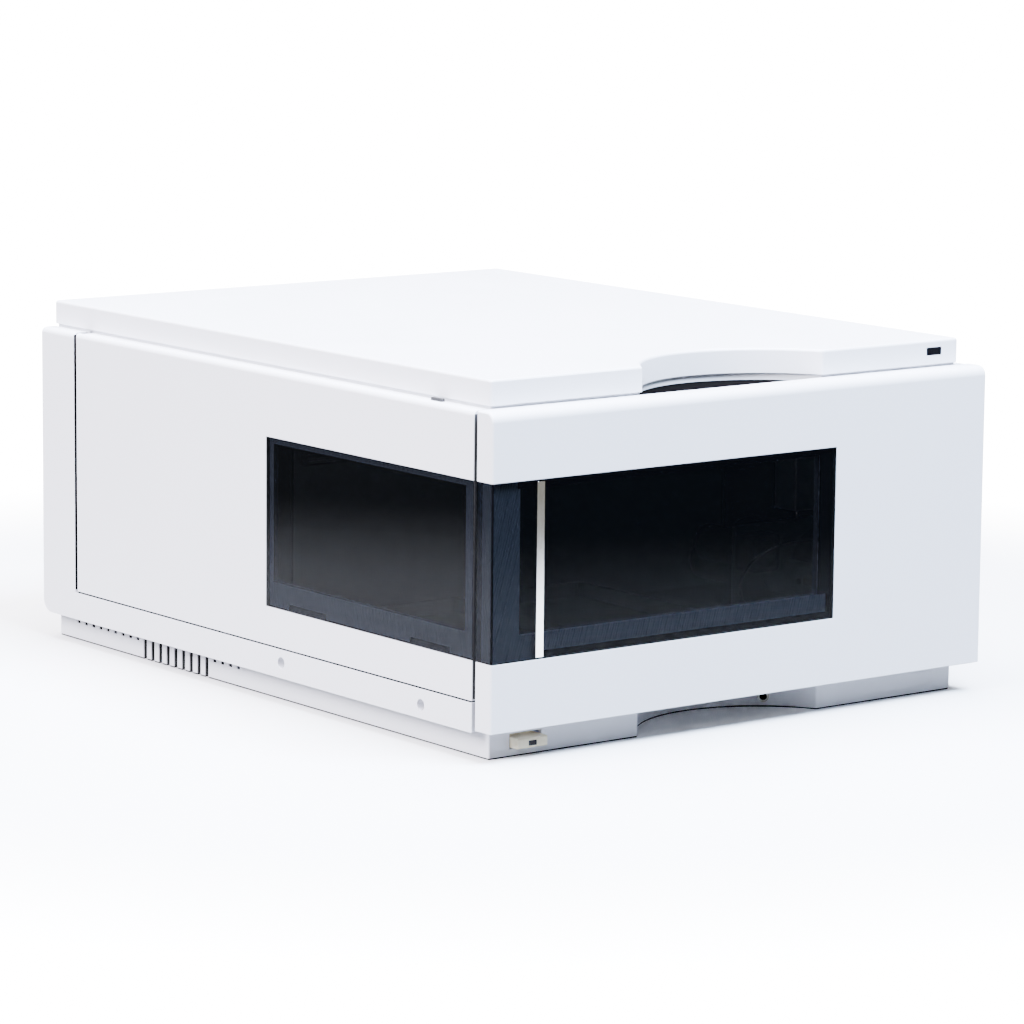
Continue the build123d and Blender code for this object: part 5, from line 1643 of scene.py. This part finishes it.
@dataclass(frozen=True)
class Softbox:
    """A soft area light: its name, place, width and height, power in watts and tint."""

    name: str
    spot: Point
    size: Flat
    power: float
    tint: Colour

    def hang(self, aim: Point) -> None:
        """Hang the light.

        Args:
            aim: What it points at.
        """
        data = bpy.data.lights.new(self.name, "AREA")
        data.shape = "RECTANGLE"
        data.size, data.size_y = self.size
        data.energy = self.power
        data.color = self.tint
        lamp = placed(self.name, data)
        lamp.location = self.spot
        lamp.rotation_euler = (Vector(aim) - Vector(self.spot)).to_track_quat("-Z", "Y").to_euler()
        lamp.visible_camera = False


@dataclass
class Studio:
    """Pale floor, soft lights and the camera at the photograph's angle."""

    lens: float = 156.746
    sensor: float = 36.0
    eye: Point = (-1.53692, -2.01754, 0.50323)
    eye_degrees: Point = (80.70952, -0.54849, -37.36567)
    clip: Flat = (0.05, 100.0)
    floor_radius: float = 0.85
    floor_corners: int = 96
    fade: Flat = (0.45, 0.84)
    floor_tone: float = 0.95
    bounce_tone: float = 0.08
    mirrored_tone: float = 0.62
    aim: Point = (0.0, 0.0, 0.1)
    lights: tuple[Softbox, ...] = (
        Softbox("top_light", (-0.1, 0.1, 1.9), (1.8, 1.8), 258.0, (1.0, 0.985, 1.07)),
        Softbox("left_light", (-1.9, 0.0, 1.3), (1.2, 1.2), 186.0, (1.0, 0.97, 1.07)),
        Softbox("front_light", (0.2, -1.2, 2.1), (1.3, 0.8), 324.0, (0.80, 0.97, 1.26)),
    )
    seen_sky: tuple[Colour, float] = ((1.0, 1.0, 1.0), 20.0)
    matt_sky: tuple[Colour, float] = ((0.90, 0.95, 1.0), 0.22)
    mirrored_sky: tuple[Colour, float] = ((1.0, 0.98, 0.9), 0.3)

    def camera(self) -> None:
        """Set the camera where the photograph was taken."""
        data = bpy.data.cameras.new("camera")
        data.lens = self.lens
        data.sensor_width = self.sensor
        data.clip_start, data.clip_end = self.clip
        data.dof.use_dof = False
        view = placed("camera", data)
        turn = Euler([math.radians(angle) for angle in self.eye_degrees])
        view.matrix_world = Matrix.Translation(self.eye) @ turn.to_matrix().to_4x4()
        bpy.context.scene.camera = view

    def floor(self) -> None:
        """Lay a pale disc that fades out into the white background."""
        work = bmesh.new()
        bmesh.ops.create_circle(
            work, cap_ends=True, radius=self.floor_radius, segments=self.floor_corners
        )
        disc = placed("floor", meshed("floor", work))
        disc.data.materials.append(self.floor_material())

    def floor_material(self) -> bpy.types.Material:
        """Make matt white that turns clear towards the disc's edge and throws little light back.

        Returns:
            The material.
        """
        made = bpy.data.materials.new("floor_white")
        graph = Graph.cleared(made)
        where = graph.add("ShaderNodeTexCoord").outputs["Object"]
        reach = graph.add("ShaderNodeVectorMath", {0: where}, operation="LENGTH").outputs["Value"]
        solid = graph.between(reach, self.fade, 1.0, 0.0, interpolation_type="SMOOTHSTEP")
        ray = graph.add("ShaderNodeLightPath").outputs
        bright = graph.between(ray["Is Glossy Ray"], (0.0, 1.0), self.floor_tone, self.mirrored_tone)
        tone = graph.between(ray["Is Diffuse Ray"], (0.0, 1.0), bright, self.bounce_tone)
        shader = graph.principled({"Base Color": tone, "Roughness": 0.6, "Alpha": solid})
        graph.add("ShaderNodeOutputMaterial", {"Surface": shader})
        return made

    def world(self) -> None:
        """Put white behind the object, and an even dim light all round it."""
        scene = bpy.context.scene
        scene.world = bpy.data.worlds.new("studio")
        graph = Graph.cleared(scene.world)
        ray = graph.add("ShaderNodeLightPath").outputs
        seen, matt, mirrored = (
            graph.add("ShaderNodeBackground", {"Color": (*tone, 1.0), "Strength": strength}).outputs[0]
            for tone, strength in (self.seen_sky, self.matt_sky, self.mirrored_sky)
        )
        lit = graph.add("ShaderNodeMixShader", {0: ray["Is Glossy Ray"], 1: matt, 2: mirrored})
        whole = graph.add("ShaderNodeMixShader", {0: ray["Is Camera Ray"], 1: lit.outputs[0], 2: seen})
        graph.add("ShaderNodeOutputWorld", {"Surface": whole.outputs[0]})

    def build(self) -> None:
        """Set up the camera, the floor and the light."""
        self.camera()
        self.floor()
        self.world()
        for light in self.lights:
            light.hang(self.aim)


def main() -> None:
    """Build the object and the studio round it."""
    logging.basicConfig(level=logging.INFO, format="%(name)s %(message)s")
    Studio().build()
    for group in (
        Casing(),
        FrontDoor(),
        SideDoor(),
        PowerSwitch(),
        Chassis(),
        SampleChamber(),
        Transport(),
        SamplingUnit(),
        Electronics(),
        Fan(),
    ):
        group.build()


if __name__ == "__main__":
    main()
